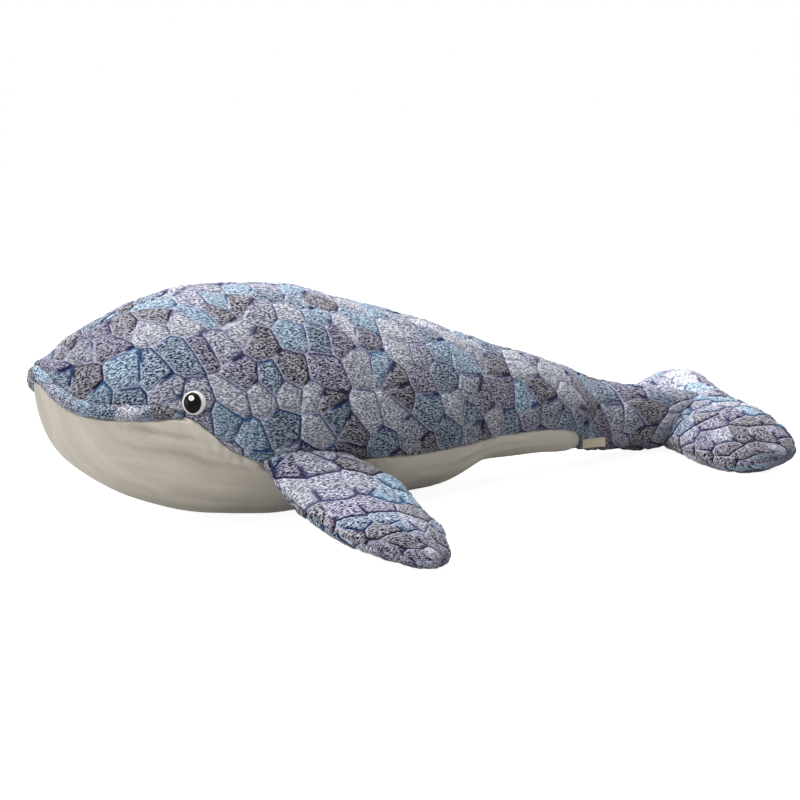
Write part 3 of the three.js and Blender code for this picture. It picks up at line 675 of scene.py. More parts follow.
def cell_edges(cell, cloth):
    """The distance on the cloth from each point to the nearest line between cells, read from the
    same cell texture that the fleece is coloured with."""
    flat = cloth.reshape(-1, 3)
    mesh = bpy.data.meshes.new("cells")
    mesh.vertices.add(len(flat))
    mesh.vertices.foreach_set("co", flat.astype(np.float32).ravel())
    holder = bpy.data.objects.new("cells", mesh)
    bpy.context.scene.collection.objects.link(holder)
    tree = bpy.data.node_groups.new("cells", "GeometryNodeTree")
    tree.interface.new_socket("Geometry", in_out="INPUT", socket_type="NodeSocketGeometry")
    tree.interface.new_socket("Geometry", in_out="OUTPUT", socket_type="NodeSocketGeometry")
    board = Board(tree)
    place = board.add("GeometryNodeInputPosition")
    edge = board.add("ShaderNodeTexVoronoi", cell_settings("DISTANCE_TO_EDGE"), {
        "Vector": place, "Scale": 1 / cell, "Randomness": CELL_RANDOMNESS,
    })
    stored = board.add("GeometryNodeStoreNamedAttribute", {"data_type": "FLOAT", "domain": "POINT"}, {
        "Geometry": board.add("NodeGroupInput"), "Name": "edge", "Value": edge,
    })
    board.add("NodeGroupOutput", None, {0: stored})
    holder.modifiers.new("cells", "NODES").node_group = tree
    evaluated = holder.evaluated_get(bpy.context.evaluated_depsgraph_get())
    edges = np.empty(len(flat), np.float32)
    evaluated.data.attributes["edge"].data.foreach_get("value", edges)
    bpy.data.objects.remove(holder)
    bpy.data.meshes.remove(mesh)
    bpy.data.node_groups.remove(tree)
    return edges.reshape(cloth.shape[:-1]) * cell


# Finishes


# For each colour of the mosaic: the share of the cells that have it, and how strongly its painted shade
# between the tufts and painted light on their tips stand out
CELL_PORTIONS = (0.19, 0.17, 0.15, 0.14, 0.19, 0.16)
CELL_CONTRASTS = (0.78, 0.72, 0.64, 0.48, 0.5, 0.4)
# Scales of the noises on the cloth
CRIMP_SCALE = 800
GRAIN_SCALE = 1100
NAP_SCALE = 850
WANDER_SCALE = 42
STREAK_SCALE = 38
# What a line between cells looks like at distances from it in millimetres: whole below the first and gone
# above the second. They are the painted shade beside it, its dark line of painted shade, its pale line of
# painted highlight and the groove.
SHADE_REACH = (0.8, 6)
SHADE_LINE_REACH = (1.5, 3)
HIGHLIGHT_LINE_REACH = (0.5, 1.9)
GROOVE_REACH = (0.2, 2.6)
# The pale line's colours, between the tufts and on them: a painted highlight
HIGHLIGHT_GROUND = (0.60, 0.61, 0.73)
HIGHLIGHT_TIP = (0.88, 0.88, 0.93)
# The painted highlight on the pupil: its grey middle and its white
GLINT_MIDDLE = (0.80, 0.76, 0.77)
GLINT_WHITE = (0.98, 0.97, 0.97)


def painted_shade_hue(colour):
    """The same hue, stronger and darker: the painted shade between the tufts and along the lines between
    cells.
    """
    hue, saturation, value = colorsys.rgb_to_hsv(*colour)
    return colorsys.hsv_to_rgb(hue, min(1.8 * saturation + 0.15, 0.8), 0.58 * value)


def between(first, second, amount):
    """A colour moved a share of the way from one to another."""
    return tuple(a + (b - a) * amount for a, b in zip(first, second))


def fleece(name, finish, dark_side, cell, line=1.0, crimp_turn=-0.12, stretch=2.3, painted_light_gain=1.0):
    """Short crimped pile with a mosaic of cells. Each cell has a ground colour darkened as painted shade
    between the tufts and a lighter colour of painted light on them. Its border is a dark line of painted
    shade on the shaded side and a pale line of painted highlight on the other, as if its groove were lit
    from one side, both frayed by the pile. The crimp is noise stretched along a slanting line. The gain
    makes the whole piece brighter or darker as painted light."""
    material, board = new_material(name)
    colours = (finish.night, finish.plum, finish.slate, finish.sky, finish.heather, finish.mist)
    place = board.on_cloth()
    spot = {"Vector": place, "Scale": 1 / cell, "Randomness": CELL_RANDOMNESS}
    draws = board.add("ShaderNodeTexVoronoi", cell_settings("F1"), spot, output="Color")
    centre = draws.other("Position")
    edge = board.add("ShaderNodeTexVoronoi", cell_settings("DISTANCE_TO_EDGE"), spot) * (cell / MM)
    pick = board.add("ShaderNodeSeparateColor", None, {"Color": draws})

    def banded(change):
        """A ramp that gives each cell its colour, changed by a function of it and its contrast."""
        stops, start = [], 0.0
        for colour, portion, contrast in zip(colours, CELL_PORTIONS, CELL_CONTRASTS):
            stops.append((start, linear(change(tuple(colour), contrast))))
            start += portion
        return board.bands(pick, stops)

    def valley_shade(colour, contrast):
        """The ground between the tufts, darkened as painted shade."""
        return between(darker(colour, contrast), painted_shade_hue(colour), 0.4 * contrast)

    ground = banded(valley_shade)
    # Painted light on the tufts' tips
    tip = banded(lambda colour, contrast: lighter(colour, 0.12 + 0.5 * contrast))
    # Each cell's colour of painted shade, for its border's dark line and the band beside it
    deep = banded(lambda colour, contrast: painted_shade_hue(colour))

    laid = board.add("ShaderNodeMapping", {"vector_type": "TEXTURE"}, {
        "Vector": place, "Rotation": (0, 0, crimp_turn), "Scale": (stretch, 1, 1),
    })
    crimp = board.noise(laid, CRIMP_SCALE, detail=1.5, distortion=0.7)
    wander = board.noise(place, WANDER_SCALE, detail=1.0)
    pile = board.span(crimp, 0.42, 0.58)
    # The gain makes the whole piece brighter or darker, as painted light
    value = board.span(pick.other("Green"), 0, 1, 0.88 * painted_light_gain, 1.1 * painted_light_gain)
    value = value + board.span(wander, 0.3, 0.7, -0.07, 0.07)
    colour = board.add("ShaderNodeHueSaturation", None, {
        "Value": value, "Color": board.blend(pile, ground, tip),
    })

    # The lines between cells as painted shade and painted highlight: dark on the side of each cell towards
    # the shaded side, pale on the other
    way = board.vector("SUBTRACT", place, centre)
    across = board.vector("DOT_PRODUCT", way, dark_side, output="Value") * (1 / cell)
    side = board.span(across + (wander - 0.5) * 0.3, -0.04, 0.14)
    frayed = edge + (crimp - 0.5) * 4
    shade = (1 - board.span(edge, *SHADE_REACH)) * side * (0.5 * line)
    dark = (1 - board.span(frayed, *SHADE_LINE_REACH)) * side * (0.95 * line)
    pale = (1 - board.span(frayed, *HIGHLIGHT_LINE_REACH)) * (1 - side) * (0.75 * line)
    colour = board.blend(dark, board.blend(shade, colour, deep), deep)
    colour = board.blend(pale, colour, board.blend(pile, linear(HIGHLIGHT_GROUND), linear(HIGHLIGHT_TIP)))
    height = pile * 0.8 + board.span(edge, *GROOVE_REACH) * (0.7 * line)
    surface(board, {
        "Base Color": colour, "Roughness": 0.95, "Specular IOR Level": 0.1,
        "Sheen Weight": 0.3, "Sheen Roughness": 0.35,
    }, height + board.noise(place, GRAIN_SCALE) * 0.2, distance=MM, strength=0.9)
    return material


# How far a fold lies off the flat cloth's plane in the cloth attribute, so that the plush can paint shade
# into it
FOLD_SHADE_MARK = MM


def plush(name, finish):
    """Smooth short pile: a fine nap under faint streaks where it has been brushed, with painted shade in
    its folds.
    """
    material, board = new_material(name)
    place = board.on_cloth()
    brushed = board.add("ShaderNodeMapping", None, {"Vector": place, "Scale": (0.35, 1, 1)})
    streak = board.noise(brushed, STREAK_SCALE, distortion=0.4)
    nap = board.noise(place, NAP_SCALE, roughness=0.6)
    fold = board.add("ShaderNodeSeparateXYZ", None, {"Vector": place}, output="Z")
    colour = board.shades(board.span(streak, 0.3, 0.72), finish.plush, 0.09, 0)
    # Painted shade in the folds
    folded = board.span(fold, 0.3 * FOLD_SHADE_MARK, FOLD_SHADE_MARK) * 0.4
    colour = board.blend(folded, colour, linear(darker(finish.plush, 0.32)))
    napped = board.span(nap, 0.35, 0.65) * 0.35
    colour = board.blend(napped, colour, linear(lighter(finish.plush, 0.3)))
    surface(board, {
        "Base Color": colour, "Roughness": 0.85, "Specular IOR Level": 0.2,
        "Sheen Weight": 0.2, "Sheen Roughness": 0.5,
    }, nap * 0.5 + streak * 0.3, distance=0.4 * MM, strength=0.4)
    return material


def thread_finish(finish):
    """Twisted thread, mottled light and dark."""
    material, board = new_material("sewing thread")
    twist = board.noise(board.on_object(), 1500, detail=1.0)
    colour = board.shades(twist, finish.thread, 0.3, 0.25)
    surface(board, {"Base Color": colour, "Roughness": 0.7}, twist, distance=0.2 * MM, strength=0.5)
    return material


def fibre_finish(finish):
    """Loose white fibre, mottled where it is packed."""
    material, board = new_material("fibre filling")
    tangle = board.noise(board.on_object(), 160, detail=4.0, roughness=0.7, distortion=1.2)
    colour = board.shades(tangle, finish.fibre, 0.2, 0)
    surface(board, {"Base Color": colour, "Roughness": 1.0}, tangle, distance=2 * MM)
    return material


def moulded(name, tint, roughness, coat=0.0):
    """Moulded plastic with a faint flow in its colour and the least unevenness in its gloss."""
    material, board = new_material(name)
    place = board.on_object()
    flow = board.noise(place, 210)
    surface(board, {
        "Base Color": board.shades(flow, tint, 0.05, 0.03),
        "Roughness": board.span(flow, 0.2, 0.8, roughness * 0.8, roughness * 1.2),
        "Coat Weight": coat, "Coat Roughness": 0.05,
    }, board.noise(place, 700), distance=0.04 * MM, strength=0.25)
    return material


def pupil_finish(finish, eyes):
    """Glossy black with a painted highlight: a round white dot, whose middle is a little grey."""
    material, board = new_material("eye pupil")
    place = board.on_cloth()
    # Where the painted highlight lies on the pupil
    glint = (-eyes.pupil_forward - eyes.glint_forward, eyes.glint_rise, 0)
    away = board.vector("DISTANCE", place, glint, output="Value") * (1 / eyes.glint_radius)
    dot = 1 - board.span(away, 0.9, 1.0)
    middle = 1 - board.span(away, 0.2, 0.62)
    white = board.blend(middle, linear(GLINT_WHITE), linear(GLINT_MIDDLE))
    flow = board.noise(place, 260)
    surface(board, {
        "Base Color": board.blend(dot, board.shades(flow, finish.eye_black, 0, 0.02), white),
        "Roughness": board.span(flow, 0.2, 0.8, 0.12, 0.18),
        "Specular IOR Level": 0.1,
    })
    return material


def ribbon(finish, label):
    """Woven ribbon: warp and weft threads, with denser edges along the strip."""
    material, board = new_material("label ribbon")
    place = board.on_cloth()
    along = board.add("ShaderNodeSeparateXYZ", None, {"Vector": place})
    up = along.other("Y")
    weave = (up * 9000).sine() * (along * 7000).sine()
    middle = label.height / 2
    edge = board.span((up + middle).magnitude(), middle * 0.82, middle * 0.9)
    colour = board.shades(board.noise(place, 300, detail=3.0), finish.label, 0.08, 0.12)
    colour = board.blend(edge * 0.35, colour, linear(darker(finish.label, 0.22)))
    surface(board, {"Base Color": colour, "Roughness": 0.7}, weave, distance=0.08 * MM, strength=0.5)
    return material


# The spine form


# What a half width or a height is taken as where the form runs out
LEAST_REACH = 0.1 * MM


def from_nose(form, x):
    """Distances from the nose of places along X."""
    return x - nose_at(form, 0)


def nose_at(form, s):
    """Places along X of distances from the nose, which the tail's hinge gives."""
    return JOINTS["tail_bend"]["pos_m"][0] - TAIL_HINGE_SHARE * form.length + s


def spine_section(form, s):
    """At distances from the nose: the heights of the underside, the back and the widest line, and
    the half width, each a smooth curve of the square root of the distance's share."""
    at = np.sqrt(np.clip(s / form.length, 0, 1))
    top, bottom, width = (curve(at) for curve in SPINE_CURVES)
    low = bottom * form.height - form.rest_cut
    high = top * form.height
    return low, high, low + WAIST_SHARE * (high - low), width * form.half_width


def reach_from_waist(section, rise):
    """How far a section reaches from its widest line: to the back for a rise over it and to the
    underside for others."""
    low, high, waist, _ = section
    return np.where(rise > 0, high - waist, waist - low)


def spine_point(form, s, angle):
    """Two half ellipses that meet at the widest line, with the angle from the toy's right, up and over."""
    s, angle = np.broadcast_arrays(s, angle)
    section = spine_section(form, s)
    rise = np.sin(angle)
    height = section[2] + reach_from_waist(section, rise) * rise
    return np.stack([nose_at(form, s), section[3] * np.cos(angle), height], -1)


def spine_level(form, points):
    """Below 1 inside the spine form and above 1 outside: the squares of a point's shares of the half
    width and of the height over or under the widest line, summed."""
    section = spine_section(form, from_nose(form, points[..., 0]))
    rise = points[..., 2] - section[2]
    across = points[..., 1] / np.maximum(section[3], LEAST_REACH)
    return np.square(across) + np.square(rise / np.maximum(reach_from_waist(section, rise), LEAST_REACH))


def spine_normal(form, points):
    """The unit slope of the level, from small steps both ways along X, Y and Z."""
    nudges = 0.3 * MM * np.eye(3)
    return unit(np.stack([
        spine_level(form, points + nudge) - spine_level(form, points - nudge) for nudge in nudges
    ], -1))


def seam_height(form, s):
    """The height of the mouth line and of the belly's seam behind it."""
    return form.height * SEAM_CURVE(s / form.length)


def flank_rise(form, s, height):
    """A height's share of the way from the widest line to the back or, below 0, to the underside."""
    section = spine_section(form, s)
    reach = reach_from_waist(section, height - section[2])
    return np.clip((height - section[2]) / np.maximum(reach, 0.001 * MM), -1, 1)


def flank_point(form, s, height):
    """The left flank's point at a distance from the nose and a height."""
    rise = flank_rise(form, s, height)
    width = spine_section(form, s)[3]
    return np.stack([nose_at(form, s), -width * np.sqrt(1 - rise * rise), height + 0 * s], -1)


def belly_end(form):
    """The rounded end of the belly panel, a little behind the place of the care label."""
    return form.length * BELLY_END_SHARE + 1.6 * MM


def seam_angle(form, s):
    """The angle on the left flank of the seam, from the mouth line to the belly panel's rounded end,
    which is a quarter of an ellipse, and along the middle of the underside behind it."""
    rounded = belly_end(form) - form.belly_round
    ahead = np.minimum(s, rounded)
    start = math.pi - np.arcsin(flank_rise(form, ahead, seam_height(form, ahead)))
    t = np.clip((s - rounded) / form.belly_round, 0, 1)
    return start + (0.75 * TURN - start) * (1 - np.sqrt(1 - t * t))


def seam_line(form, start, stop, count=900):
    """Points along the seam of the left flank."""
    s = crowded(start, stop, count, (0, belly_end(form)), 12 * MM, 4)
    return spine_point(form, s, seam_angle(form, s))


# Places of the eyes, the flippers and the flukes


def eye_frame(form, eyes):
    """The left eye's seat: its middle, the way aft, the way up and the way out."""
    height = seam_height(form, form.length * MOUTH_CORNER_SHARE) + eyes.rise
    skin = flank_point(form, np.array(form.length * EYE_SHARE), height)
    out = spine_normal(form, skin)
    aft = unit(np.cross((0, 0, 1), out))
    return skin - out * eyes.seat, aft, np.cross(out, aft), out


def turned(vector, axis, angle):
    """Vectors turned about an axis by angles, by Rodrigues' formula."""
    axis = unit(np.asarray(axis, float))
    cosine, sine = np.cos(angle)[..., None], np.sin(angle)[..., None]
    along = (vector @ axis)[..., None] * axis
    return vector * cosine + np.cross(axis, vector) * sine + along * (1 - cosine)


def flipper_root(form, limbs):
    """The middle of the left flipper's root, a little outside the flank."""
    s = np.array(form.length * FLIPPER_SHARE)
    skin = flank_point(form, s, seam_height(form, s) - limbs.flipper_fall)
    return skin + np.array((0, -limbs.flipper_out, 0))


def flipper_section(form, limbs, at):
    """The left flipper's sections: middle, way aft, way up, half chord and half thickness. The way
    aft is yawed and pitched at the root and straight at the tip."""
    chord, thickness, drop, sweep = (curve(at) for curve in FLIPPER_CURVES)
    rootward = np.clip(1 - at, 0, 1)
    yaw, pitch = limbs.flipper_yaw * rootward, limbs.flipper_pitch * rootward
    aft = np.stack([np.cos(pitch) * np.cos(yaw), np.cos(pitch) * np.sin(yaw), -np.sin(pitch)], -1)
    up = unit(np.cross(np.array((0.0, -1.0, 0.0)), aft))
    way = np.stack([limbs.flipper_sweep * sweep, -limbs.flipper_span * at, -limbs.flipper_drop * drop], -1)
    middle = flipper_root(form, limbs) + way
    return middle, aft, up, limbs.flipper_chord * chord / 2, limbs.flipper_thickness * thickness / 2


def flipper_point(form, limbs, at, angle):
    """An ellipse round each section's middle, from the trailing edge over the top to the leading one."""
    middle, aft, up, half_chord, half_thickness = flipper_section(form, limbs, at)
    across = (half_chord * np.cos(angle))[..., None] * aft
    return middle + across + (half_thickness * np.sin(angle))[..., None] * up


def fluke_axes(limbs):
    """The flukes' ways aft, left and up: pitched about Y, then yawed about Z."""
    yaw, pitch = -limbs.fluke_yaw, limbs.fluke_pitch
    aft = np.array((math.cos(pitch) * math.cos(yaw), math.cos(pitch) * math.sin(yaw), math.sin(pitch)))
    left = np.array((math.sin(yaw), -math.cos(yaw), 0.0))
    return aft, left, np.cross(left, aft)


def fluke_middle(form, limbs):
    """The origin of the flukes' own axes, on the middle plane over the stock's underside."""
    s = form.length * FLUKE_SHARE
    low = spine_section(form, np.array(s))[0]
    return np.array((nose_at(form, s), 0, low + limbs.fluke_rise))


def fluke_section(limbs, at):
    """The flukes' sections at spans: the chord's middle, half the chord, half the thickness and how
    far they hang."""
    leading, trailing, thickness, droop = (curve(np.abs(at)) for curve in FLUKE_CURVES)
    middle = limbs.fluke_chord * (leading + trailing) / 2
    half_chord = limbs.fluke_chord * (trailing - leading) / 2
    return middle, half_chord, limbs.fluke_thickness * thickness / 2, limbs.fluke_droop * droop


def fluke_local(limbs, at, angle):
    """The flukes' surface in their own axes: an ellipse between the leading and the trailing edge."""
    middle, half_chord, half_thickness, hang = fluke_section(limbs, at)
    aft = middle + half_chord * np.cos(angle)
    return np.stack([aft, limbs.fluke_half_span * at + 0 * aft, half_thickness * np.sin(angle) - hang], -1)


def fluke_hinge(form, limbs, sign):
    """A lobe's hinge: a point on it and its axis, about which a positive turn lifts the lobe."""
    middle, _, _, hang = fluke_section(limbs, FLUKE_HINGE_SHARE)
    aft, left, up = fluke_axes(limbs)
    across = sign * limbs.fluke_half_span * FLUKE_HINGE_SHARE
    return fluke_middle(form, limbs) + middle * aft + across * left - hang * up, np.cross(sign * left, up)


# The spans between which the lobe's lift grows
LOBE_FOLD_SHARES = (0.15, 0.42)


def fluke_point(form, limbs, at, angle):
    """The flukes' surface, left of the middle at positive spans. The right lobe is turned about its
    hinge by a share of the lift that grows over the fold."""
    local = fluke_local(limbs, at, angle)
    points = fluke_middle(form, limbs) + local @ np.array(fluke_axes(limbs))
    pivot, axis = fluke_hinge(form, limbs, -1)
    lift = limbs.fluke_lift * step(-at, *LOBE_FOLD_SHARES)
    return pivot + turned(points - pivot, axis, lift)


def fluke_level(form, limbs, points):
    """Below 1 inside the flukes' middle: the squares of a point's shares of the half chord and the
    half thickness, summed."""
    local = (points - fluke_middle(form, limbs)) @ np.array(fluke_axes(limbs)).T
    at = np.clip(np.abs(local[..., 1]) / limbs.fluke_half_span, 0, 0.99)
    middle, half_chord, half_thickness, hang = fluke_section(limbs, at)
    aft, up = (local[..., 0] - middle) / half_chord, (local[..., 2] + hang) / half_thickness
    return np.square(aft) + np.square(up)


def flipper_level(form, limbs, points):
    """Below 1 inside the left flipper: shares of its half chord and half thickness, as for the flukes."""
    out = flipper_root(form, limbs)[1] - points[..., 1]
    at = np.clip(out / limbs.flipper_span, FLIPPER_SEARCH[0], 0.98)
    middle, aft, up, half_chord, half_thickness = flipper_section(form, limbs, at)
    away = points - middle
    return np.square((away * aft).sum(-1) / half_chord) + np.square((away * up).sum(-1) / half_thickness)


def crossing(levels, places):
    """For each column, the first place where a level that starts under 1 passes it, by straight
    lines between the rows."""
    over = levels > 1
    i = np.clip(over.argmax(0), 1, None)
    j = np.arange(levels.shape[1])
    before, after = levels[i - 1, j], levels[i, j]
    return places[i - 1] + (places[i] - places[i - 1]) * np.clip((1 - before) / (after - before), 0, 1)


# Where crossings are looked for: shares of the spine's length and of the flipper's span, in even steps
STOCK_SEARCH = (0.8, 0.97)
FLIPPER_SEARCH = (-0.16, 0.4)
SEARCH_STEPS = 240


def stock_end(form, limbs, angle):
    """Where each line along the stock meets the flukes, as a distance from the nose."""
    s = np.linspace(*(form.length * end for end in STOCK_SEARCH), SEARCH_STEPS)
    return crossing(2 - fluke_level(form, limbs, spine_point(form, s[:, None], angle)), s)


def flipper_start(form, limbs, angle):
    """Where each line along the left flipper leaves the flank, as a share of its span."""
    at = np.linspace(*FLIPPER_SEARCH, SEARCH_STEPS)
    return crossing(spine_level(form, flipper_point(form, limbs, at[:, None], angle)), at)


def flipper_outline(form, limbs):
    """Points round the left flipper's root, where it leaves the flank."""
    angle = np.linspace(0, TURN, SEARCH_STEPS)
    return flipper_point(form, limbs, flipper_start(form, limbs, angle), angle)


def stock_outline(form, limbs):
    """Points round the stock, where it meets the flukes."""
    angle = np.linspace(0, TURN, SEARCH_STEPS)
    return spine_point(form, stock_end(form, limbs, angle), angle)


# How deep the body's cloth lies under the smooth form


# The lip roll's last stretch before the mouth's corner, and how much thinner and deeper it gets there
LIP_FADE = 30 * MM
LIP_THINNER = 0.55
LIP_DEEPER = 2.8 * MM
LIP_GAP = 0.3 * MM
# Under an eye: the room behind the button, the way over which the dent eases out, and the low rise
# round it with its height, its distance from the button and its width
EYE_GAP = 0.6 * MM
EYE_EASE = 7 * MM
EYE_RISE = (0.9 * MM, 4 * MM, 2.8 * MM)
# At a flipper's root: how wide and deep the cloth is drawn in, and how much deeper under the flipper
ROOT_WIDTH = 6 * MM
ROOT_DEPTH = 2.6 * MM
ROOT_HOLLOW = 3 * MM
# The back's seam is drawn in less than the others
BACK_SEAM_SHARE = 0.55
# How far puckers reach from a seam, and their wavelength
PUCKER_REACH = 9 * MM
PUCKER_WAVE = 12 * MM
# The stock's seam with the flukes: width and depth
STOCK_SEAM = (4 * MM, 0.8 * MM)
# Where the lines of seams start behind the nose, and how far the grids of covers stay from their ends
SEAM_START = 0.2 * MM
FORM_GAP = 0.6 * MM
# How high the outer and the inner side of resting cloth lie over the floor, and the filling
OUTER_REST = 0.2 * MM
INNER_REST = 0.7 * MM
FILLING_REST = 4.5 * MM


def lip_end(form):
    """Where the lip roll ends ahead of the mouth's corner."""
    return form.length * MOUTH_CORNER_SHARE - form.lip_radius


def lip_section(form, s):
    """The roll's radius and how deep its middle lies: full along the mouth, thinner and deeper
    towards the mouth's corner, where it runs out under the cloth."""
    last = step(s, lip_end(form) - LIP_FADE, lip_end(form))
    return form.lip_radius * (1 - LIP_THINNER * last), form.lip_sink + LIP_DEEPER * last


def lip_room(form, s, distance, spare=0.0):
    """The room that the cloth leaves for the lip roll: a circle round the roll's sunk middle, with
    its edge eased, up to the mouth's corner."""
    radius, sink = lip_section(form, s)
    radius = radius + LIP_GAP + spare
    depth = sink + np.sqrt(np.maximum(radius**2 - distance**2, 0))
    eased = depth * (1 - step(distance, radius * 0.9, radius * 1.08))
    return eased * (1 - step(s, lip_end(form) - 4 * MM, lip_end(form) + 6 * MM))


def eye_room(form, eyes, points, spare=0.0):
    """The dent under an eye: down to the button's flat back inside its radius, easing out past it,
    with a low rise round it where the cloth is squeezed up."""
    middle, _, _, out = eye_frame(form, eyes)
    away = on_left(points) - middle
    height = away @ out
    across = np.sqrt(np.maximum((away**2).sum(-1) - height**2, 0))
    edge = eyes.radius + spare
    dent = np.maximum(height + EYE_GAP, 0) * (1 - step(across, edge, edge + EYE_EASE))
    risen, beside, width = EYE_RISE
    rise = risen * bump(across - eyes.radius - beside, width)
    return np.where(np.abs(height) < 2 * eyes.radius, dent - rise, 0)


def root_room(form, limbs, points, outline):
    """The dent round and under a flipper's root, like a seam along its outline."""
    left = on_left(points)
    distance = distance_to(outline, left)
    under = ROOT_DEPTH + ROOT_HOLLOW * step(distance, 0, ROOT_WIDTH)
    inside = flipper_level(form, limbs, left) < 1
    return np.where(inside, under, seam_dip(distance, ROOT_WIDTH, ROOT_DEPTH))


def body_depth(form, limbs, eyes, s, points, seam, back, outline, spare=0.0, lumps=1.0):
    """How far the cloth's outer side lies under the spine form, from the distances to the seam under
    it and to the back's seam: seams, puckers along them, the lip roll, the eyes, the flippers' roots
    and the lumps of the filling. spare widens the dents for what lies under the cloth."""
    wide = form.seam_width + 2 * spare
    behind_mouth = step(s, lip_end(form), lip_end(form) + 10 * MM)
    depth = seam_dip(seam, wide, form.seam_depth) * np.maximum(behind_mouth, 0.3)
    depth += seam_dip(back, wide, form.seam_depth * BACK_SEAM_SHARE)
    depth = np.maximum(depth, lip_room(form, s, seam, spare))
    depth = np.maximum(depth, root_room(form, limbs, points, outline))
    depth += eye_room(form, eyes, points, spare)
    close = np.exp(-np.minimum(seam, back * 1.4) / PUCKER_REACH)
    depth -= form.pucker * close * ripples(points, PUCKER_WAVE, 3)
    return depth - lumps * form.lump * (ripples(points, 70 * MM, 5) + 0.5 * ripples(points, 34 * MM, 8))


# How high each cell is crowned
PILLOW = 0.8 * MM


def tufted(finish, depth, edges, points, groove=1.0, pillow=PILLOW):
    """The depth with the mosaic's relief: a line sunk between cells, each cell a little crowned, and
    the unevenness of the pile."""
    pile = 0.22 * MM * (ripples(points, 5.2 * MM, 61, 11) + ripples(points, 9 * MM, 62, 9))
    line = finish.cell_groove * groove * bump(edges, 1.8 * MM)
    return depth + line - pillow * (1 - np.exp(-edges / (6 * MM))) - pile


def rested(points, gap):
    """Points kept at least a gap over the floor, as where cloth is pressed flat."""
    points = points.copy()
    points[..., 2] = np.maximum(points[..., 2], gap)
    return points


def cloth_sides(form, grid, normals, depth, bare):
    """The grids of the cloth's outer side, at a depth under the smooth form, and of its inner side,
    which follows a bare depth without the pile."""
    outer = rested(grid - normals * depth[..., None], OUTER_REST)
    return outer, rested(grid - normals * (bare + form.cloth)[..., None], INNER_REST)


# Pieces


def finished(piece, material, slot, *nodes, fill=None):
    """A piece with its finish, which stands for nodes of the frame. fill is not used."""
    piece.data.materials.append(material)
    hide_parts(*nodes)
    return piece


# Shares of the hollow that the padding fills
BODY_FILL = 0.85
SMALL_FILL = 0.8


def stuffing(piece, *nodes, fill=SMALL_FILL):
    """A finished piece of filling."""
    return finished(piece, bpy.data.materials["fibre filling"], "filling", *nodes, fill=fill)


# How far a bend reaches before and behind its hinge
FLIPPER_BLEND = (6 * MM, 34 * MM)
LOBE_BLEND = (20 * MM, 20 * MM)

# A flipper or a lobe of the flukes: points of its smooth form from spans and angles, the first span at
# each angle, whether it is made on the left and moved over, 1 or -1 for the side that its points are
# made on, the body that it is joined to, and where the bend at its root starts and ends
Limb = namedtuple("Limb", "name point start moved hand parent bend")


def bend_with_tail(piece):
    """Bakes the piece's place into its points; the tail's hinge is read but not used."""
    x, _, z = JOINTS["tail_bend"]["pos_m"]
    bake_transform(piece)


def flipper_limb(form, limbs, side):
    """The flipper of one side, made on the left."""
    place = np.array(JOINTS[f"flipper_{side}_lift"]["pos_m"])
    hang = limbs.flipper_hang
    out = np.array((0, math.copysign(math.cos(hang), place[1]), -math.sin(hang)))
    return Limb(
        name=f"flipper_{side}",
        point=lambda at, angle: flipper_point(form, limbs, at, angle),
        start=lambda angle: flipper_start(form, limbs, angle),
        moved=side == "right",
        hand=1,
        parent="body",
        bend=(place - FLIPPER_BLEND[0] * out, place + FLIPPER_BLEND[1] * out),
    )


def lobe_limb(form, limbs, side, sign):
    """The lobe of one side, made where it lies."""
    place = np.array(JOINTS[f"fluke_{side}_fold"]["pos_m"])
    out = sign * fluke_axes(limbs)[1]
    return Limb(
        name=f"fluke_{side}",
        point=lambda at, angle: fluke_point(form, limbs, sign * at, angle),
        start=lambda angle: 0 * angle,
        moved=False,
        hand=sign,
        parent="tail",
        bend=(place - LOBE_BLEND[0] * out, place + LOBE_BLEND[1] * out),
    )


def bend_with_limb(piece, limb):
    """Bakes the piece's place into its points; the limb's bend is read but not used."""
    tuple(limb.bend[0])
    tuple(limb.bend[1])
    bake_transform(piece)


def settings():
    """The scene's settings for the body, the limbs, the eyes and the finishes."""
    scene = bpy.context.scene
    return scene.whale_form, scene.whale_limbs, scene.whale_eyes, scene.whale_finish


def seam_to_seam(form, s, first, last, columns):
    """Angles from one seam to another, with the seam's gap kept at both: equal shares of the arc,
    crowded at both ends."""
    shares = crowded(0, 1, columns, (0, 1), 0.08, 1.2)
    first, turn = first[:, None], (last - first)[:, None]
    arc = lengths(spine_point(form, s[:, None], first + turn * np.linspace(0, 1, 60)), 1)[:, -1]
    inset = np.minimum(form.seam_gap / arc, 0.2)[:, None]
    return first + turn * (inset + (1 - 2 * inset) * shares)


def flank_grid(form, limbs, rows, columns):
    """The left flank's smooth form, from the back's seam round to the seam under it and from the nose
    to where the stock meets the flukes: distances from the nose and points."""
    end = form.length * 0.89
    s = crowded(1.2 * MM, end, rows, (0, belly_end(form)), 14 * MM, 2.2)
    angle = seam_to_seam(form, s, np.full(rows, TURN / 4), seam_angle(form, s), columns)
    beyond = stock_end(form, limbs, angle[-1]) - FORM_GAP - end
    s = s[:, None] + beyond * step(s, end - 0.1, end)[:, None]
    return s, spine_point(form, s, angle)


def cloth_places(points, offset):
    """Places on the flat cloth: the length along the middle column and, across it, the length along
    each row from the middle column, both from a place on the cloth that the offset gives."""
    middle = points.shape[1] // 2
    along = lengths(points, 0)[:, middle]
    across = lengths(points, 1)
    across = across - across[:, middle:middle + 1]
    return np.stack([along[:, None] + 0 * across + offset[0], across + offset[1], 0 * across], -1)


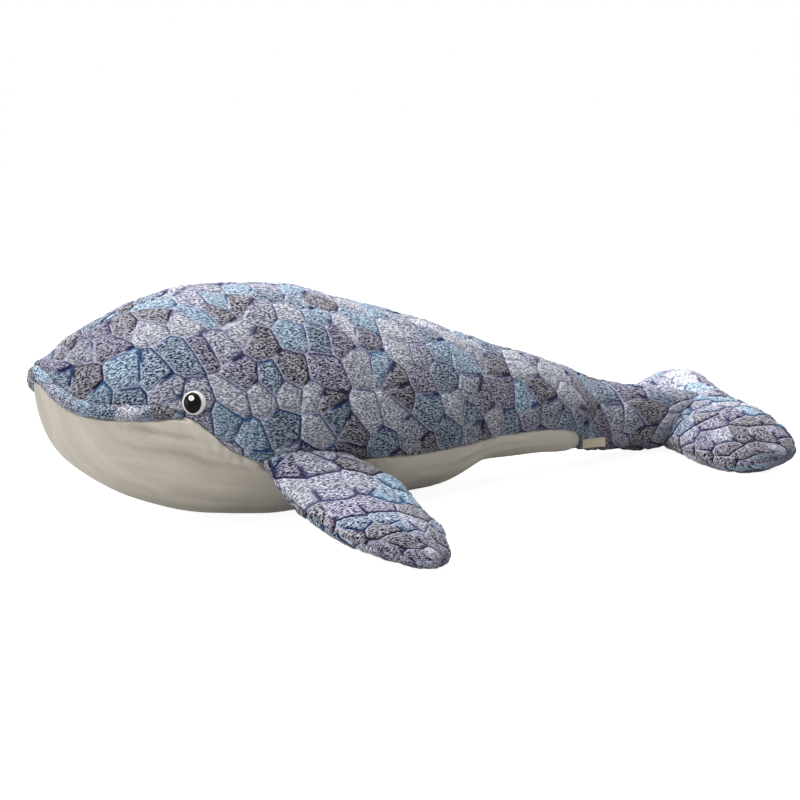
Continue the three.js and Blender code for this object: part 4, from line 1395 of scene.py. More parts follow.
def side_cover(side):
    """The fleece cover of one side, from the nose to the flukes."""
    form, limbs, eyes, finish = settings()
    s, grid = flank_grid(form, limbs, *SIDE_GRID)
    seam = distance_to(seam_line(form, SEAM_START, form.length * 0.93), grid)
    back = lengths(grid, 1) + form.seam_gap
    depth = body_depth(form, limbs, eyes, s, grid, seam, back, flipper_outline(form, limbs))
    depth = depth + seam_dip(distance_to(stock_outline(form, limbs), grid), *STOCK_SEAM)
    cloth = cloth_places(grid, (0.31, 0.17) if side == "left" else (1.43, 0.66))
    relief = tufted(finish, depth, cell_edges(finish.cell, cloth), grid)
    outer, under = cloth_sides(form, grid, outwards(grid), relief, depth)
    mirror = side == "right"
    if mirror:
        outer, under = flipped(outer), flipped(under)
    piece = panel(f"side_cover_{side}", outer, under, cloth, mirror)
    pile = fleece(f"fleece {side} side", finish, (0.8, -0.6, 0), finish.cell)
    finished(piece, pile, "fleece", f"side_panel_{side}", f"tail_panel_{side}", fill=BODY_FILL)
    bend_with_tail(piece)


# Folds of the throat: their heights at distances from the nose, and where each starts and ends, and
# its depth
FOLD_HEIGHT_SHARES = np.array([
    (0.02, 0.575, 0.53, 0.48, 0.42, 0.33),
    (0.05, 0.545, 0.475, 0.412, 0.36, 0.28),
    (0.09, 0.512, 0.434, 0.388, 0.325, 0.235),
    (0.135, 0.478, 0.395, 0.34, 0.285, 0.19),
    (0.17, 0.42, 0.336, 0.295, 0.255, 0.165),
    (0.21, 0.36, 0.303, 0.26, 0.225, 0.14),
    (0.32, 0.3, 0.25, 0.2, 0.16, 0.09),
])
FOLD_REACH_SHARES = (
    (0.05, 0.19, 1.0), (0.03, 0.25, 1.0), (0.02, 0.25, 0.55), (0.045, 0.28, 0.5), (0.07, 0.3, 0.45),
)
# Folds behind the flippers: share of the way round from the seam, and as above
REAR_FOLD_SHARES = ((0.2, 0.36, 0.7, 0.8), (0.42, 0.38, 0.68, 0.7), (0.66, 0.36, 0.62, 0.5))
# Half widths of a fold: its crease, its valley, and the hollow that it leaves on the cloth's inner side
CREASE, VALLEY, HOLLOW = 3.4 * MM, 9 * MM, 9.5 * MM
# The waves that move a fold aside: their height, their length over 2 pi and their share of its phase
FOLD_WAVES = ((1.6 * MM, 24 * MM, 1), (0.6 * MM, 9 * MM, 2))
# The lengths over which a fold fades in and out
FOLD_FADES = (35 * MM, 50 * MM)


def belly_folds(form, s, points, normals):
    """The folds of the plush, from 0 to 1, and wider ones for the cloth's inner side: soft valleys
    that run aft along lines on the throat, and along the seam behind the flippers. Each fades in and
    out, and a slow wave moves it."""
    upright = np.maximum(np.linalg.norm(normals[..., :2], axis=-1), 0.3)
    left = points[..., 1] < 0
    arc = lengths(points, 1)
    whole = arc[:, -1:]
    from_seam = np.minimum(arc, whole - arc)
    folds = []
    curves = smooth_curves(FOLD_HEIGHT_SHARES, FOLD_HEIGHT_SHARES[:, 0])
    share_along = np.clip(s / form.length, FOLD_HEIGHT_SHARES[0, 0], FOLD_HEIGHT_SHARES[-1, 0])
    for curve, reach in zip(curves, FOLD_REACH_SHARES):
        folds.append(((form.height * curve(share_along) - points[..., 2]) / upright, reach))
    for around, *reach in REAR_FOLD_SHARES:
        folds.append((from_seam - around * whole / 2, reach))
    valleys, hollows = 0, 0
    for k, (away, (first, last, deep)) in enumerate(folds):
        phase = 1.7 * k + np.where(left, 0, 1.1)
        away = away + sum(height * np.sin(s / length + part * phase) for height, length, part in FOLD_WAVES)
        first, last = first * form.length, last * form.length
        fade = step(s, first, first + FOLD_FADES[0]) * (1 - step(s, last - FOLD_FADES[1], last))
        patchy = 0.8 + 0.25 * np.sin(s / (33 * MM) + 2.3 * phase)
        deep = deep * fade * patchy
        valleys = valleys + deep * (0.5 * bump(away, CREASE) + 0.5 * bump(away, VALLEY))
        hollows = hollows + deep * bump(away, HOLLOW)
    return valleys, hollows


def belly_cover():
    """The plush belly, from the lip to its rounded end and from seam to seam."""
    form, limbs, eyes, finish = settings()
    rows, columns = BELLY_GRID
    end = belly_end(form) - FORM_GAP
    # Even steps of the square root, as the nose is round
    root = math.sqrt(end)
    s = np.square(crowded(0.008, root, rows, (root,), 0.02, 2.5))
    first = seam_angle(form, s)
    angle = seam_to_seam(form, s, first, 1.5 * TURN - first, columns)
    s = s[:, None] + 0 * angle
    grid = spine_point(form, s, angle)
    normals = outwards(grid)
    line = seam_line(form, SEAM_START, belly_end(form))
    seam = distance_to(np.concatenate([line, flipped(line)]), grid)
    no_back = np.full_like(seam, 1.0)
    depth = body_depth(form, limbs, eyes, s, grid, seam, no_back, flipper_outline(form, limbs), lumps=0.35)
    # The rounded end is puffed up, away from its seam
    depth -= 2.2 * MM * bump(s - end + 20 * MM, 18 * MM) * step(seam, 2 * MM, 12 * MM)
    folds, hollows = belly_folds(form, s, grid, normals)
    outer, under = cloth_sides(form, grid, normals, depth + form.fold * folds, depth + form.fold * hollows)
    cloth = cloth_places(grid, (0, 0))
    # The folds are kept on the cloth for the plush's painted shade
    cloth[..., 2] = FOLD_SHADE_MARK * folds
    piece = panel("belly_cover", outer, under, cloth)
    finished(piece, plush("belly plush", finish), "plush", "belly_panel", fill=SMALL_FILL)
    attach(piece, "body")


def lip_path(form, count):
    """The mouth line from the left corner round the nose to the right one, sunk under the skin: its
    points, the ways out of the skin and the roll's radius. The distance from the nose is the square
    of the way along."""
    t = np.linspace(-1, 1, count)
    s = np.maximum(lip_end(form) * t * t, 1e-5)
    skin = flank_point(form, s, seam_height(form, s))
    skin[:, 1] *= -np.sign(t)
    skin[count // 2, 1] = 0
    way = spine_normal(form, skin)
    way[count // 2] = (-1, 0, 0)
    for _ in range(6):
        way[1:-1] = unit(way[:-2] + 2 * way[1:-1] + way[2:])
    radius, sink = lip_section(form, s)
    return (skin - way * sink[:, None])[::-1], way[::-1], radius


def roll_rings(points, way, radius, sides):
    """Rings round a path, from the way out of the skin towards its side, with a radius for each ring
    or for each of its points."""
    along = unit(np.gradient(points, axis=0))
    out = unit(way - (way * along).sum(-1, keepdims=True) * along)
    aside = np.cross(along, out)
    angle = round_angles(sides)[None, :, None]
    spokes = np.cos(angle) * out[:, None] + np.sin(angle) * aside[:, None]
    return points[:, None] + np.reshape(radius, (len(points), -1, 1)) * spokes


def lip_roll():
    """The padded roll along the mouth: a cover with an inner wall and the filling inside it."""
    form, _, _, finish = settings()
    count, sides = LIP_GRID
    points, way, radius = lip_path(form, count)
    length = lengths(points, 0)
    from_end = np.minimum(length, length[-1] - length)
    # Each end is rounded like a quarter of a circle
    radius = radius * np.sqrt(1 - np.square(1 - np.clip(from_end / (8 * MM), 0, 1)))
    # The cloth's seam lies on the inner side of the roll, where the angle is half a turn
    around = form.lip_radius * ((round_angles(sides) + math.pi) % TURN)
    along, around = np.broadcast_arrays(length[:, None] + 2.2, around + 0.4)
    cloth = np.stack([along, around, 0 * along], -1)
    edges = cell_edges(finish.lip_cell, cloth)
    rings = roll_rings(points, way, radius, sides)
    relief = 0.3 * MM * ripples(rings, 21 * MM, 31) + 0.4 * MM * ripples(rings, 8.5 * MM, 33)
    relief = relief + 0.4 * MM * ripples(rings, 4.5 * MM, 35, 11) - 0.3 * MM * bump(edges, 1.2 * MM)
    outer = roll_rings(points, way, radius[:, None] + relief * (radius / form.lip_radius)[:, None], sides)
    wall = np.maximum(radius - form.cloth, 0.4 * MM)
    inner = roll_rings(points, way, wall, sides)[:, ::-1]
    core = roll_rings(points, way, np.maximum(wall - form.fit_gap, 0.3 * MM), sides)
    # The first and last rings are left out, and the path's points there close the forms
    cut = slice(2, count - 2)
    ends = points[2], points[-3]
    poles = cloth[(2, -3), 0]
    places = [cloth[cut].reshape(-1, 3), poles, cloth[cut][:, ::-1].reshape(-1, 3), poles]
    walls = (outer[cut], *ends), (inner[cut], *ends)
    cover = closed_piece("lip_roll_pile", *walls, cloth=np.concatenate(places))
    # The lip roll's fleece is painted a little brighter, as painted light
    pile = fleece(
        "fleece lip roll", finish, (0.5, -0.8, 0), finish.lip_cell, line=0.15, stretch=1.3, painted_light_gain=1.12
    )
    finished(cover, pile, "fleece", "lip_roll_cover", fill=SMALL_FILL)
    filling = stuffing(closed_piece("lip_roll_filling", (core[4:-4:4, ::4], *ends)), "lip_roll_stuffing")
    for piece in (cover, filling):
        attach(piece, "body")


# Spans at which a limb's panels start before the limb does and its filling after it, as shares of the
# whole, and the seam thread along a lobe's leading edge
FLIPPER_HIDDEN, FLIPPER_FILLED = 0.008, 0.012
LOBE_HIDDEN, LOBE_FILLED, LOBE_STITCHED = 0, 0.002, 0.23
# The last span of panels, and how far they stay from the edges, as a share of half a turn
PANEL_TIP = 0.9985
PANEL_EDGE = 0.004


def limb_panels(form, finish, limb, hidden, cell, pile, offset, extra):
    """The upper and lower covers of a limb, yielded one by one with their materials. They start a
    hidden span before the limb does, and extra gives more depth at points."""
    for part, turn in (("upper", 0), ("lower", TURN / 2)):
        rows, columns = LIMB_GRID
        shares = crowded(0, 1, columns, (0, 1), 0.07, 1.5)
        angle = turn + TURN / 2 * (PANEL_EDGE + (1 - 2 * PANEL_EDGE) * shares)
        first = limb.start(angle) - hidden
        at = first + (PANEL_TIP - first) * crowded(0, 1, rows, (0, 1), 0.06, 2.0)[:, None]
        grid = limb.point(at, angle)
        around = lengths(grid, 1)
        edge = np.minimum(around, around[:, -1:] - around) + form.seam_gap
        calm = 1 - 0.8 * step(at, 0.86, 0.97)
        depth = seam_dip(edge, 4.5 * MM, 1.6 * MM) * calm
        depth -= 0.6 * form.pucker * np.exp(-edge / (8 * MM)) * ripples(grid, 11 * MM, 41) * calm
        depth -= form.lump * (0.8 * ripples(grid, 50 * MM, 43) + 0.4 * ripples(grid, 24 * MM, 47))
        depth = depth + extra(part, at, angle, first, grid)
        cloth = cloth_places(np.swapaxes(grid, 0, 1), offset if part == "upper" else np.add(offset, 0.7))
        cloth = np.swapaxes(cloth, 0, 1)
        pillow = PILLOW * step(at, first, first + 0.05) * calm
        relief = tufted(finish, depth, cell_edges(cell, cloth), grid, 0.85 * calm, pillow)
        outer, under = cloth_sides(form, grid, limb.hand * outwards(grid), relief, depth)
        if limb.moved:
            outer, under = flipped(outer), flipped(under)
        piece = panel(f"{limb.name}_{part}_cover", outer, under, cloth, limb.moved or limb.hand < 0)
        yield part, piece, fleece(f"fleece {limb.name} {part}".replace("_", " "), finish, cell=cell, **pile)


def limb_filling(form, limb, inside):
    """A limb's filling, under the cloth and its seams. It starts a span inside the limb's start."""
    rows, sides = LIMB_FILLING_GRID
    angle = round_angles(sides)
    first = limb.start(angle) + inside
    at = first + (0.985 - first) * crowded(0, 1, rows, (0, 1), 0.08, 1.5)[:, None]
    grid = limb.point(at, angle)
    # More room at the two edges, where the panels are sewn
    inset = form.cloth + form.fit_gap + 2.2 * MM + 2 * MM * (1 - np.abs(np.sin(angle)))
    middle = grid.mean(1, keepdims=True)
    away = np.linalg.norm(grid - middle, axis=-1, keepdims=True)
    left = np.maximum(1 - inset[None, :, None] / np.maximum(away, 0.001 * MM), 0.15)
    rings = rested(middle + (grid - middle) * left, FILLING_REST)
    if limb.moved:
        rings = flipped(rings)
    if limb.moved or limb.hand < 0:
        rings = rings[:, ::-1]
    return closed_piece(f"{limb.name}_filling", (rings, rings[0].mean(0), rings[-1].mean(0)))


def body_filling():
    """The body's filling, with the dents of the cloth over it, from the nose into the stock."""
    form, limbs, eyes, _ = settings()
    rows, sides = BODY_FILLING_GRID
    s = crowded(12 * MM, form.length * 0.865, rows, (12 * MM,), 20 * MM, 2.0)[:, None] + np.zeros(sides)
    grid = spine_point(form, s, round_angles(sides))
    normals = outwards(np.concatenate([grid[:, -1:], grid, grid[:, :1]], 1))[:, 1:-1]
    left = on_left(grid)
    seam = distance_to(seam_line(form, SEAM_START, form.length * 0.93), left)
    back = distance_to(spine_point(form, np.linspace(1 * MM, 0.72, 400), TURN / 4), left)
    depth = body_depth(form, limbs, eyes, s, left, seam, back, flipper_outline(form, limbs), spare=3 * MM)
    # Nowhere in the way of the throat's folds
    throat = step(seam_height(form, s) - grid[..., 2], 4 * MM, 12 * MM)
    depth = np.maximum(depth, -1 * MM) + form.cloth + form.fit_gap + 1 * MM + form.fold * throat
    limit = 0.8 * np.linalg.norm(grid - grid.mean(1, keepdims=True), axis=-1)
    rings = rested(grid - normals * np.minimum(depth, limit)[..., None], FILLING_REST)
    piece = closed_piece("body_filling", (rings, rings[0].mean(0), rings[-1].mean(0)))
    stuffing(piece, "body_stuffing", "tail_stuffing", fill=BODY_FILL)
    bend_with_tail(piece)


def flippers():
    """Both flippers: an upper and a lower cover and the filling of each."""
    form, limbs, _, finish = settings()

    def tip_fold(part, at, angle, first, grid):
        """A crease over the leading edge near the tip, and the root's seam."""
        away = (at - 0.9) * limbs.flipper_span + 20 * MM * (angle / math.pi - 0.62)
        root = seam_dip((at - first) * limbs.flipper_span, 6 * MM, 1.2 * MM)
        side = step(angle, 0.2 * TURN, 0.3 * TURN) * (1 - step(angle, 0.425 * TURN, 0.49 * TURN))
        return 1.7 * MM * bump(away, 1.6 * MM) * side + root

    # The flippers' fleece is painted brighter, as painted light
    pile = {"dark_side": (0.25, 1.0, 0), "painted_light_gain": 1.32}
    for side, offset in (("left", (0.52, 0.93)), ("right", (0.05, 1.9))):
        limb = flipper_limb(form, limbs, side)
        covers = limb_panels(form, finish, limb, FLIPPER_HIDDEN, finish.cell, pile, offset, tip_fold)
        for part, piece, material in covers:
            finished(piece, material, "fleece", f"{limb.name}_{part}_panel", fill=SMALL_FILL)
            bend_with_limb(piece, limb)
        filling = limb_filling(form, limb, FLIPPER_FILLED)
        bend_with_limb(stuffing(filling, f"{limb.name}_stuffing"), limb)


# For each lobe: where its cloth is cut from the mosaic, and how much brighter it is painted, as painted
# light: the right lobe most, where the light from behind falls
LOBE_CLOTH = {"left": ((0.83, 2.31), 1.18), "right": ((1.2, 0.77), 1.6)}


def flukes():
    """Both lobes of the flukes: an upper and a lower cover and the filling of each."""
    form, limbs, _, finish = settings()
    joint_line = stock_outline(form, limbs)

    def creases(part, at, angle, first, grid):
        """The valley at the lobe's root and the seam with the stock."""
        deep = 0.9 * MM if part == "upper" else 0.6 * MM
        away = (at - 0.2 - 0.02 * np.sin(angle * 2.2)) * limbs.fluke_half_span
        valley = deep * bump(away, 5.5 * MM) * step(at, 0.02, 0.1)
        return valley * np.square(np.sin(angle)) + seam_dip(distance_to(joint_line, grid), *STOCK_SEAM)

    for side, sign in SIDES:
        limb = lobe_limb(form, limbs, side, sign)
        offset, painted_light_gain = LOBE_CLOTH[side]
        pile = {"dark_side": (0.35, 1.0, 0), "painted_light_gain": painted_light_gain}
        covers = limb_panels(form, finish, limb, LOBE_HIDDEN, finish.tail_cell, pile, offset, creases)
        for part, piece, material in covers:
            nodes = (f"{limb.name}_{part}_panel", f"fluke_centre_{part}_panel")
            finished(piece, material, "fleece", *nodes, fill=SMALL_FILL)
            bend_with_limb(piece, limb)
        filling = limb_filling(form, limb, LOBE_FILLED)
        bend_with_limb(stuffing(filling, f"{limb.name}_stuffing", "fluke_centre_stuffing"), limb)


# Eyes


# The room round and under a pupil, the button's rounded edge, the least flat between that and the
# pupil, and the pupil's rounded edge
PUPIL_GAP = 0.3 * MM
RIM_ROUND = 0.9 * MM
RIM_FLAT = 0.3 * MM
PUPIL_ROUND = 0.7 * MM


def eye_dome(eyes, across):
    """The dome's height over the button's back, which falls with the square of the way from its middle."""
    return eyes.dome * (1 - eyes.rim_share * np.square(across / eyes.radius))


def eye_ring(eyes, grow, angle):
    """The pupil's outline, an ellipse ahead of the button's middle, grown by a length."""
    x = -eyes.pupil_forward + (eyes.pupil_width + grow) * np.cos(angle)
    return np.stack([x, (eyes.pupil_height + grow) * np.sin(angle)], -1)


def eye_rings(spots):
    """Rings of points over the button's middle from pairs of flat places and heights."""
    return np.stack([np.concatenate([flat, height[:, None]], -1) for flat, height in spots])


def button(eyes, angle):
    """The white button: the floor and wall of the pupil's pocket, the dome out to a rounded rim, the
    flat back and the post."""
    circle = np.stack([np.cos(angle), np.sin(angle)], -1)

    def domed(flat, drop):
        return flat, eye_dome(eyes, np.linalg.norm(flat, axis=-1)) - drop

    def level(radius, height):
        return circle * radius, np.full(len(angle), height)

    pocket = eyes.pupil_depth + PUPIL_GAP
    mouth = eye_ring(eyes, PUPIL_GAP, angle)
    centre = np.array((-eyes.pupil_forward, 0))
    spots = [domed(centre + (mouth - centre) * part, pocket) for part in (0.3, 0.65, 0.96, 1)]
    spots.append(domed(mouth, 0.5 * MM))
    spots.append(domed(eye_ring(eyes, 2 * PUPIL_GAP, angle), 0))
    shoulder = circle * (eyes.radius - RIM_ROUND)
    inner = eye_ring(eyes, 0.8 * MM, angle)
    reach = np.linalg.norm(inner, axis=-1, keepdims=True)
    widest = eyes.radius - RIM_ROUND - RIM_FLAT
    inner = np.where(reach > widest, inner / reach * widest, inner)
    spots += [domed(inner + (shoulder - inner) * part, 0) for part in (0.1, 0.4, 0.75, 1)]
    low = eye_dome(eyes, eyes.radius) + 0.1 * MM
    for bent in np.array((0.35, 0.7, 1)) * TURN / 4:
        across = eyes.radius - RIM_ROUND * (1 - math.sin(bent))
        spots.append(level(across, low - RIM_ROUND * (1 - math.cos(bent))))
    post, foot = eyes.post_radius, -eyes.post_length
    spots += [
        level(eyes.radius, 0.2 * MM), level(eyes.radius - 0.3 * MM, 0),
        level(post + 0.6 * MM, 0), level(post, -0.6 * MM),
        level(post, foot + 0.4 * MM), level(post - 0.4 * MM, foot),
    ]
    return eye_rings(spots)


def pupil(eyes, angle):
    """The black pupil: a domed oval with a rounded edge, let into the button."""
    spots = []
    centre = np.array((-eyes.pupil_forward, 0))

    def layer(part, lift, grow=0.0):
        flat = centre + (eye_ring(eyes, grow, angle) - centre) * part
        spots.append((flat, eye_dome(eyes, np.linalg.norm(flat, axis=-1)) + lift))

    for part in np.linspace(0.08, 0.9, 12):
        layer(part, eyes.pupil_proud * (1.25 - 0.25 * part**2))
    for bent in np.radians((25, 50, 75)):
        layer(1, eyes.pupil_proud * math.cos(bent), -PUPIL_ROUND * (1 - math.sin(bent)))
    for part, lift in ((1, -0.2 * MM), (1, -eyes.pupil_depth), (0.5, -eyes.pupil_depth)):
        layer(part, lift)
    return eye_rings(spots)


def seated(rings, seat, mirror):
    """Rings in the eye's own axes as rings on the flank."""
    middle, aft, up, out = seat
    placed = middle + rings @ np.array((aft, up, out))
    return flipped(placed)[:, ::-1] if mirror else placed


def eye_pieces():
    """Both eyes: a button with its post and a pupil let into it, and the finish of the washers."""
    form, _, eyes, finish = settings()
    seat = eye_frame(form, eyes)
    angle = -round_angles(64)
    white = moulded("eye button", finish.eye_white, 0.22, coat=0.4)
    parts = (
        ("eye_button", "eye_rim", "eye_white", white, button(eyes, angle)),
        ("eye_pupil_dome", "eye_pupil", "eye_black", pupil_finish(finish, eyes), pupil(eyes, angle)),
    )
    grey = moulded("eye washer", finish.washer, 0.5)
    for side, sign in SIDES:
        mirror = sign < 0
        for name, node, slot, material, rings in parts:
            poles = np.stack([rings[0].mean(0), rings[-1].mean(0)])
            placed = seated(rings, seat, mirror)
            ends = seated(poles[:, None], seat, mirror)[:, 0]
            flat = np.concatenate([(rings[:, ::-1] if mirror else rings).reshape(-1, 3), poles])
            flat[:, 2] = 0
            piece = closed_piece(f"{name}_{side}", (placed, ends[0], ends[1]), cloth=flat)
            finished(piece, material, slot, f"{node}_{side}")
            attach(piece, "body")
        washer = frame["nodes"][f"eye_washer_{side}"]
        washer.data.materials.clear()
        washer.data.materials.append(grey)


# Seams


# The rings of one stitch: place along it, thickness and lift, as shares of its length and its radius
STITCH_SHARES = np.array([
    (-0.5, 0.45, -0.9),
    (-0.36, 0.9, -0.3),
    (0, 1, 0.25),
    (0.36, 0.9, -0.3),
    (0.5, 0.45, -0.9),
])
STITCH_SIDES = 6
# How deep the thread lies at a limb's edge
EDGE_SINK = 1.6 * MM


def stitches(name, path, out, length=0.0028, pitch=0.0035, radius=0.00042):
    """A row of stitches along a path: short thread bows of six sides, each bent a little outwards in
    its middle and thin at both ends, set at equal steps of the path's length."""
    along = lengths(path, 0)
    count = max(int(along[-1] / pitch), 2)
    middles = (np.arange(count) + 0.5) * along[-1] / count
    bow, thick, lift = STITCH_SHARES.T[..., None]
    spots = np.clip(middles[:, None] + bow[:, 0] * length, 0, along[-1])
    places, ways = (
        np.stack([np.interp(spots, along, line[:, k]) for k in range(3)], -1) for line in (path, out)
    )
    run = unit(places[:, -1:] - places[:, :1]) + 0 * places
    ways = unit(ways)
    ways = unit(ways - (ways * run).sum(-1, keepdims=True) * run)
    angle = round_angles(STITCH_SIDES)
    up = radius * (lift + thick * np.cos(angle))[..., None]
    aside = radius * (thick * np.sin(angle))[..., None]
    rings = places[:, :, None] + ways[:, :, None] * up + np.cross(run, ways)[:, :, None] * aside
    first, last = rings[:, 0].mean(1), rings[:, -1].mean(1)
    points = np.concatenate([rings.reshape(count, -1, 3), first[:, None], last[:, None]], 1)
    _, quads, triangles = closed_form(rings[0], first[0], last[0])
    starts = (np.arange(count) * points.shape[1])[:, None, None]
    quads, triangles = (quads + starts).reshape(-1, 4), (triangles + starts).reshape(-1, 3)
    return build(name, points.reshape(-1, 3), quads, triangles)


def sewn(name, path, out, *nodes):
    """The stitches of one seam, which replace its threads."""
    return finished(stitches(name, path, out), bpy.data.materials["sewing thread"], "thread", *nodes)


def stitch_path(form, s, angle, sink):
    """A seam's thread: points of the spine form at a depth, and the ways out of it."""
    skin = spine_point(form, s, angle)
    out = spine_normal(form, skin)
    return skin - out * sink, out


def body_seams():
    """The threads of the body's seams: back, underside, throat and belly."""
    form, limbs, _, finish = settings()
    thread_finish(finish)
    deep = form.seam_depth
    back_end, under_end = stock_end(form, limbs, np.array((0.25, 0.75)) * TURN) - 4 * MM
    back = np.linspace(12 * MM, back_end, 500)
    under = np.linspace(belly_end(form) + 2 * MM, under_end, 120)
    for name, s, angle, sink in (
        ("back", back, 0.25 * TURN, deep * BACK_SEAM_SHARE),
        ("underside", under, 0.75 * TURN, deep),
    ):
        nodes = (f"{name}_seam_thread", f"tail_{name}_seam_thread")
        bend_with_tail(sewn(f"{name}_seam_stitches", *stitch_path(form, s, angle, sink), *nodes))

    root = from_nose(form, flipper_outline(form, limbs)[:, 0])
    throat = np.linspace(lip_end(form) + 4 * MM, root.min() - 2 * MM, 120)
    path, out = stitch_path(form, throat, seam_angle(form, throat), deep)
    for side, sign in SIDES:
        ends = (path, out) if sign > 0 else (flipped(path), flipped(out))
        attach(sewn(f"throat_seam_stitches_{side}", *ends, f"throat_seam_thread_{side}"), "body")

    belly = np.linspace(root.max() + 2 * MM, belly_end(form) - SEAM_START, 600)
    one_side = stitch_path(form, belly, seam_angle(form, belly), deep)
    loop = (np.concatenate([line, flipped(line)[::-1]]) for line in one_side)
    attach(sewn("belly_seam_stitches", *loop, "belly_seam_thread"), "body")


def round_tip(limb, hidden):
    """Down a limb's leading edge, round its tip and back along its trailing edge, with the ways out.
    The leading edge's hidden span lies in what the limb is joined to."""
    rising = crowded(0, 1, 160, (1,), 0.06, 3.0)
    edges = []
    for angle, skipped in ((TURN / 2, hidden), (0.0, 0)):
        first = limb.start(np.array([angle]))[0] + skipped + 0.012
        edges.append(limb.point(first + (0.9975 - first) * rising, angle))
    middle = (edges[0] + edges[1]) / 2
    out = [unit(edge - middle) for edge in edges]
    path = [edge - way * EDGE_SINK for edge, way in zip(edges, out)]
    there_and_back = [np.concatenate([there, back[::-1]]) for there, back in (path, out)]
    return [flipped(line) for line in there_and_back] if limb.moved else there_and_back


def limb_seams():
    """The threads round the edges of the flippers and the flukes."""
    form, limbs, _, _ = settings()
    flipper_limbs = [flipper_limb(form, limbs, side) for side, _ in SIDES]
    lobes = [lobe_limb(form, limbs, side, sign) for side, sign in SIDES]
    for made, hidden, shared in (
        (flipper_limbs, 0, ()),
        (lobes, LOBE_STITCHED, ("fluke_centre_seam_thread",)),
    ):
        for limb in made:
            nodes = (f"{limb.name}_seam_thread", *shared)
            bend_with_limb(sewn(f"{limb.name}_seam_stitches", *round_tip(limb, hidden), *nodes), limb)


# Care label


def care_label():
    """The bare ribbon: a strip aft of its sewn edge, curled a little away from the flank."""
    form, _, _, finish = settings()
    label = bpy.context.scene.whale_label
    panel_end = np.array(form.length * BELLY_END_SHARE)
    s = panel_end - label.ahead
    top = seam_height(form, panel_end) + label.rise
    edge = flank_point(form, s, top)
    aft = flank_point(form, s + label.length, top) - edge
    aft[2] = 0
    aft = unit(aft)
    out = np.cross(aft, (0, 0, 1))
    rows, columns = RIBBON_GRID
    along = np.linspace(0.6 * MM, label.length, rows)[:, None]
    along, down = np.broadcast_arrays(along, -np.linspace(0, label.height, columns))
    freed = along / label.length
    wave = label.wave * np.sin(along / (6.2 * MM)) * (0.5 + down / label.height)
    lift = label.clearance + label.curl * np.square(freed) + wave
    points = edge + along[..., None] * aft + (down - label.sag * freed)[..., None] * np.array((0, 0, 1.0))
    grid = points + lift[..., None] * out
    cloth = np.stack([along, down, 0 * along], -1)
    piece = panel("care_label_ribbon", grid + label.thickness * out, grid, cloth)
    finished(piece, ribbon(finish, label), "label", "care_label")
    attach(piece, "label")


# Stage


WHITE = (1, 1, 1, 1)
FLOOR_REACH = 3.2
FLOOR_GREYS = ((0.66, 0.66, 0.66), (0.69, 0.69, 0.69))
FLOOR_GLOW = 0.92


def lamp(name, place, target, watts, width, depth):
    """A rectangular lamp that points at a target."""
    light = bpy.data.lights.new(name, "AREA")
    light.shape = "RECTANGLE"
    light.size, light.size_y = width, depth
    light.energy = watts
    holder = bpy.data.objects.new(name, light)
    holder.location = place
    holder.rotation_euler = (Vector(target) - Vector(place)).to_track_quat("-Z", "Y").to_euler()
    bpy.context.scene.collection.objects.link(holder)


def seen_white(board):
    """1 for rays from the camera, from gloss and through glass, 0 for the light on the toy."""
    path = board.add("ShaderNodeLightPath")
    glossy, through = path.other("Is Glossy Ray"), path.other("Is Transmission Ray")
    return path.other("Is Camera Ray").greater(glossy).greater(through)


def studio_floor():
    """A pale floor that looks white to the camera and throws a soft grey light on the toy."""
    square = np.array([(-1, -1, 0), (1, -1, 0), (1, 1, 0), (-1, 1, 0)])
    floor = build("floor", FLOOR_REACH * square, np.array([[0, 1, 2, 3]]), np.zeros((0, 3), int))
    material, board = new_material("studio floor")
    grain = board.noise(board.on_object(), 3.0)
    colour = board.blend(grain, *(linear(grey) for grey in FLOOR_GREYS))
    plain = board.add("ShaderNodeBsdfDiffuse", None, {"Color": colour})
    glow = board.add("ShaderNodeEmission", None, {"Color": WHITE, "Strength": FLOOR_GLOW})
    both = board.add("ShaderNodeAddShader", None, {0: plain, 1: glow})
    shader = board.add("ShaderNodeMixShader", None, {0: seen_white(board), 1: plain, 2: both})
    board.add("ShaderNodeOutputMaterial", None, {"Surface": shader})
    floor.data.materials.append(material)
    floor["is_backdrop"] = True


def stage():
    """The camera at the picture's angle, soft lamps, a pale world and a pale floor."""
    scene = bpy.context.scene
    view = scene.whale_stage
    target = Vector((nose_at(scene.whale_form, view.look_from_nose), 0, view.look_height))
    a, e = view.azimuth, view.elevation
    back = Vector((math.sin(a) * math.cos(e), -math.cos(a) * math.cos(e), math.sin(e)))
    camera = bpy.data.objects.new("camera", bpy.data.cameras.new("camera"))
    camera.location = target + back * view.distance
    camera.rotation_euler = (-back).to_track_quat("-Z", "Y").to_euler()
    camera.data.lens = camera.data.sensor_width * view.focus_pixels / PICTURE_WIDTH
    scene.collection.objects.link(camera)
    scene.camera = camera

    lamp("lamp_overhead", (-0.2, 0.1, 1.5), (0, 0, 0.05), view.key, 1.5, 1.1)
    lamp("lamp_front", (-2.0, -0.75, 0.65), (-0.25, 0, 0.1), view.fill, 1.0, 1.0)
    lamp("lamp_behind", (0.8, 1.2, 1.0), (0.15, 0, 0.1), view.rim, 1.2, 0.8)

    world = bpy.data.worlds.new("studio")
    world.use_nodes = True
    world.node_tree.nodes.clear()
    board = Board(world.node_tree)
    strength = view.sky + (1 - view.sky) * seen_white(board)
    light = board.add("ShaderNodeBackground", None, {"Color": WHITE, "Strength": strength})
    board.add("ShaderNodeOutputWorld", None, {"Surface": light})
    scene.world = world

    studio_floor()
    scene.view_settings.view_transform = "Standard"


def side_covers():
    """Both side covers."""
    for side, _ in SIDES:
        side_cover(side)


def filling():
    """The fibre's finish, which all fillings share, and the body's filling."""
    fibre_finish(bpy.context.scene.whale_finish)
    body_filling()


# Operators


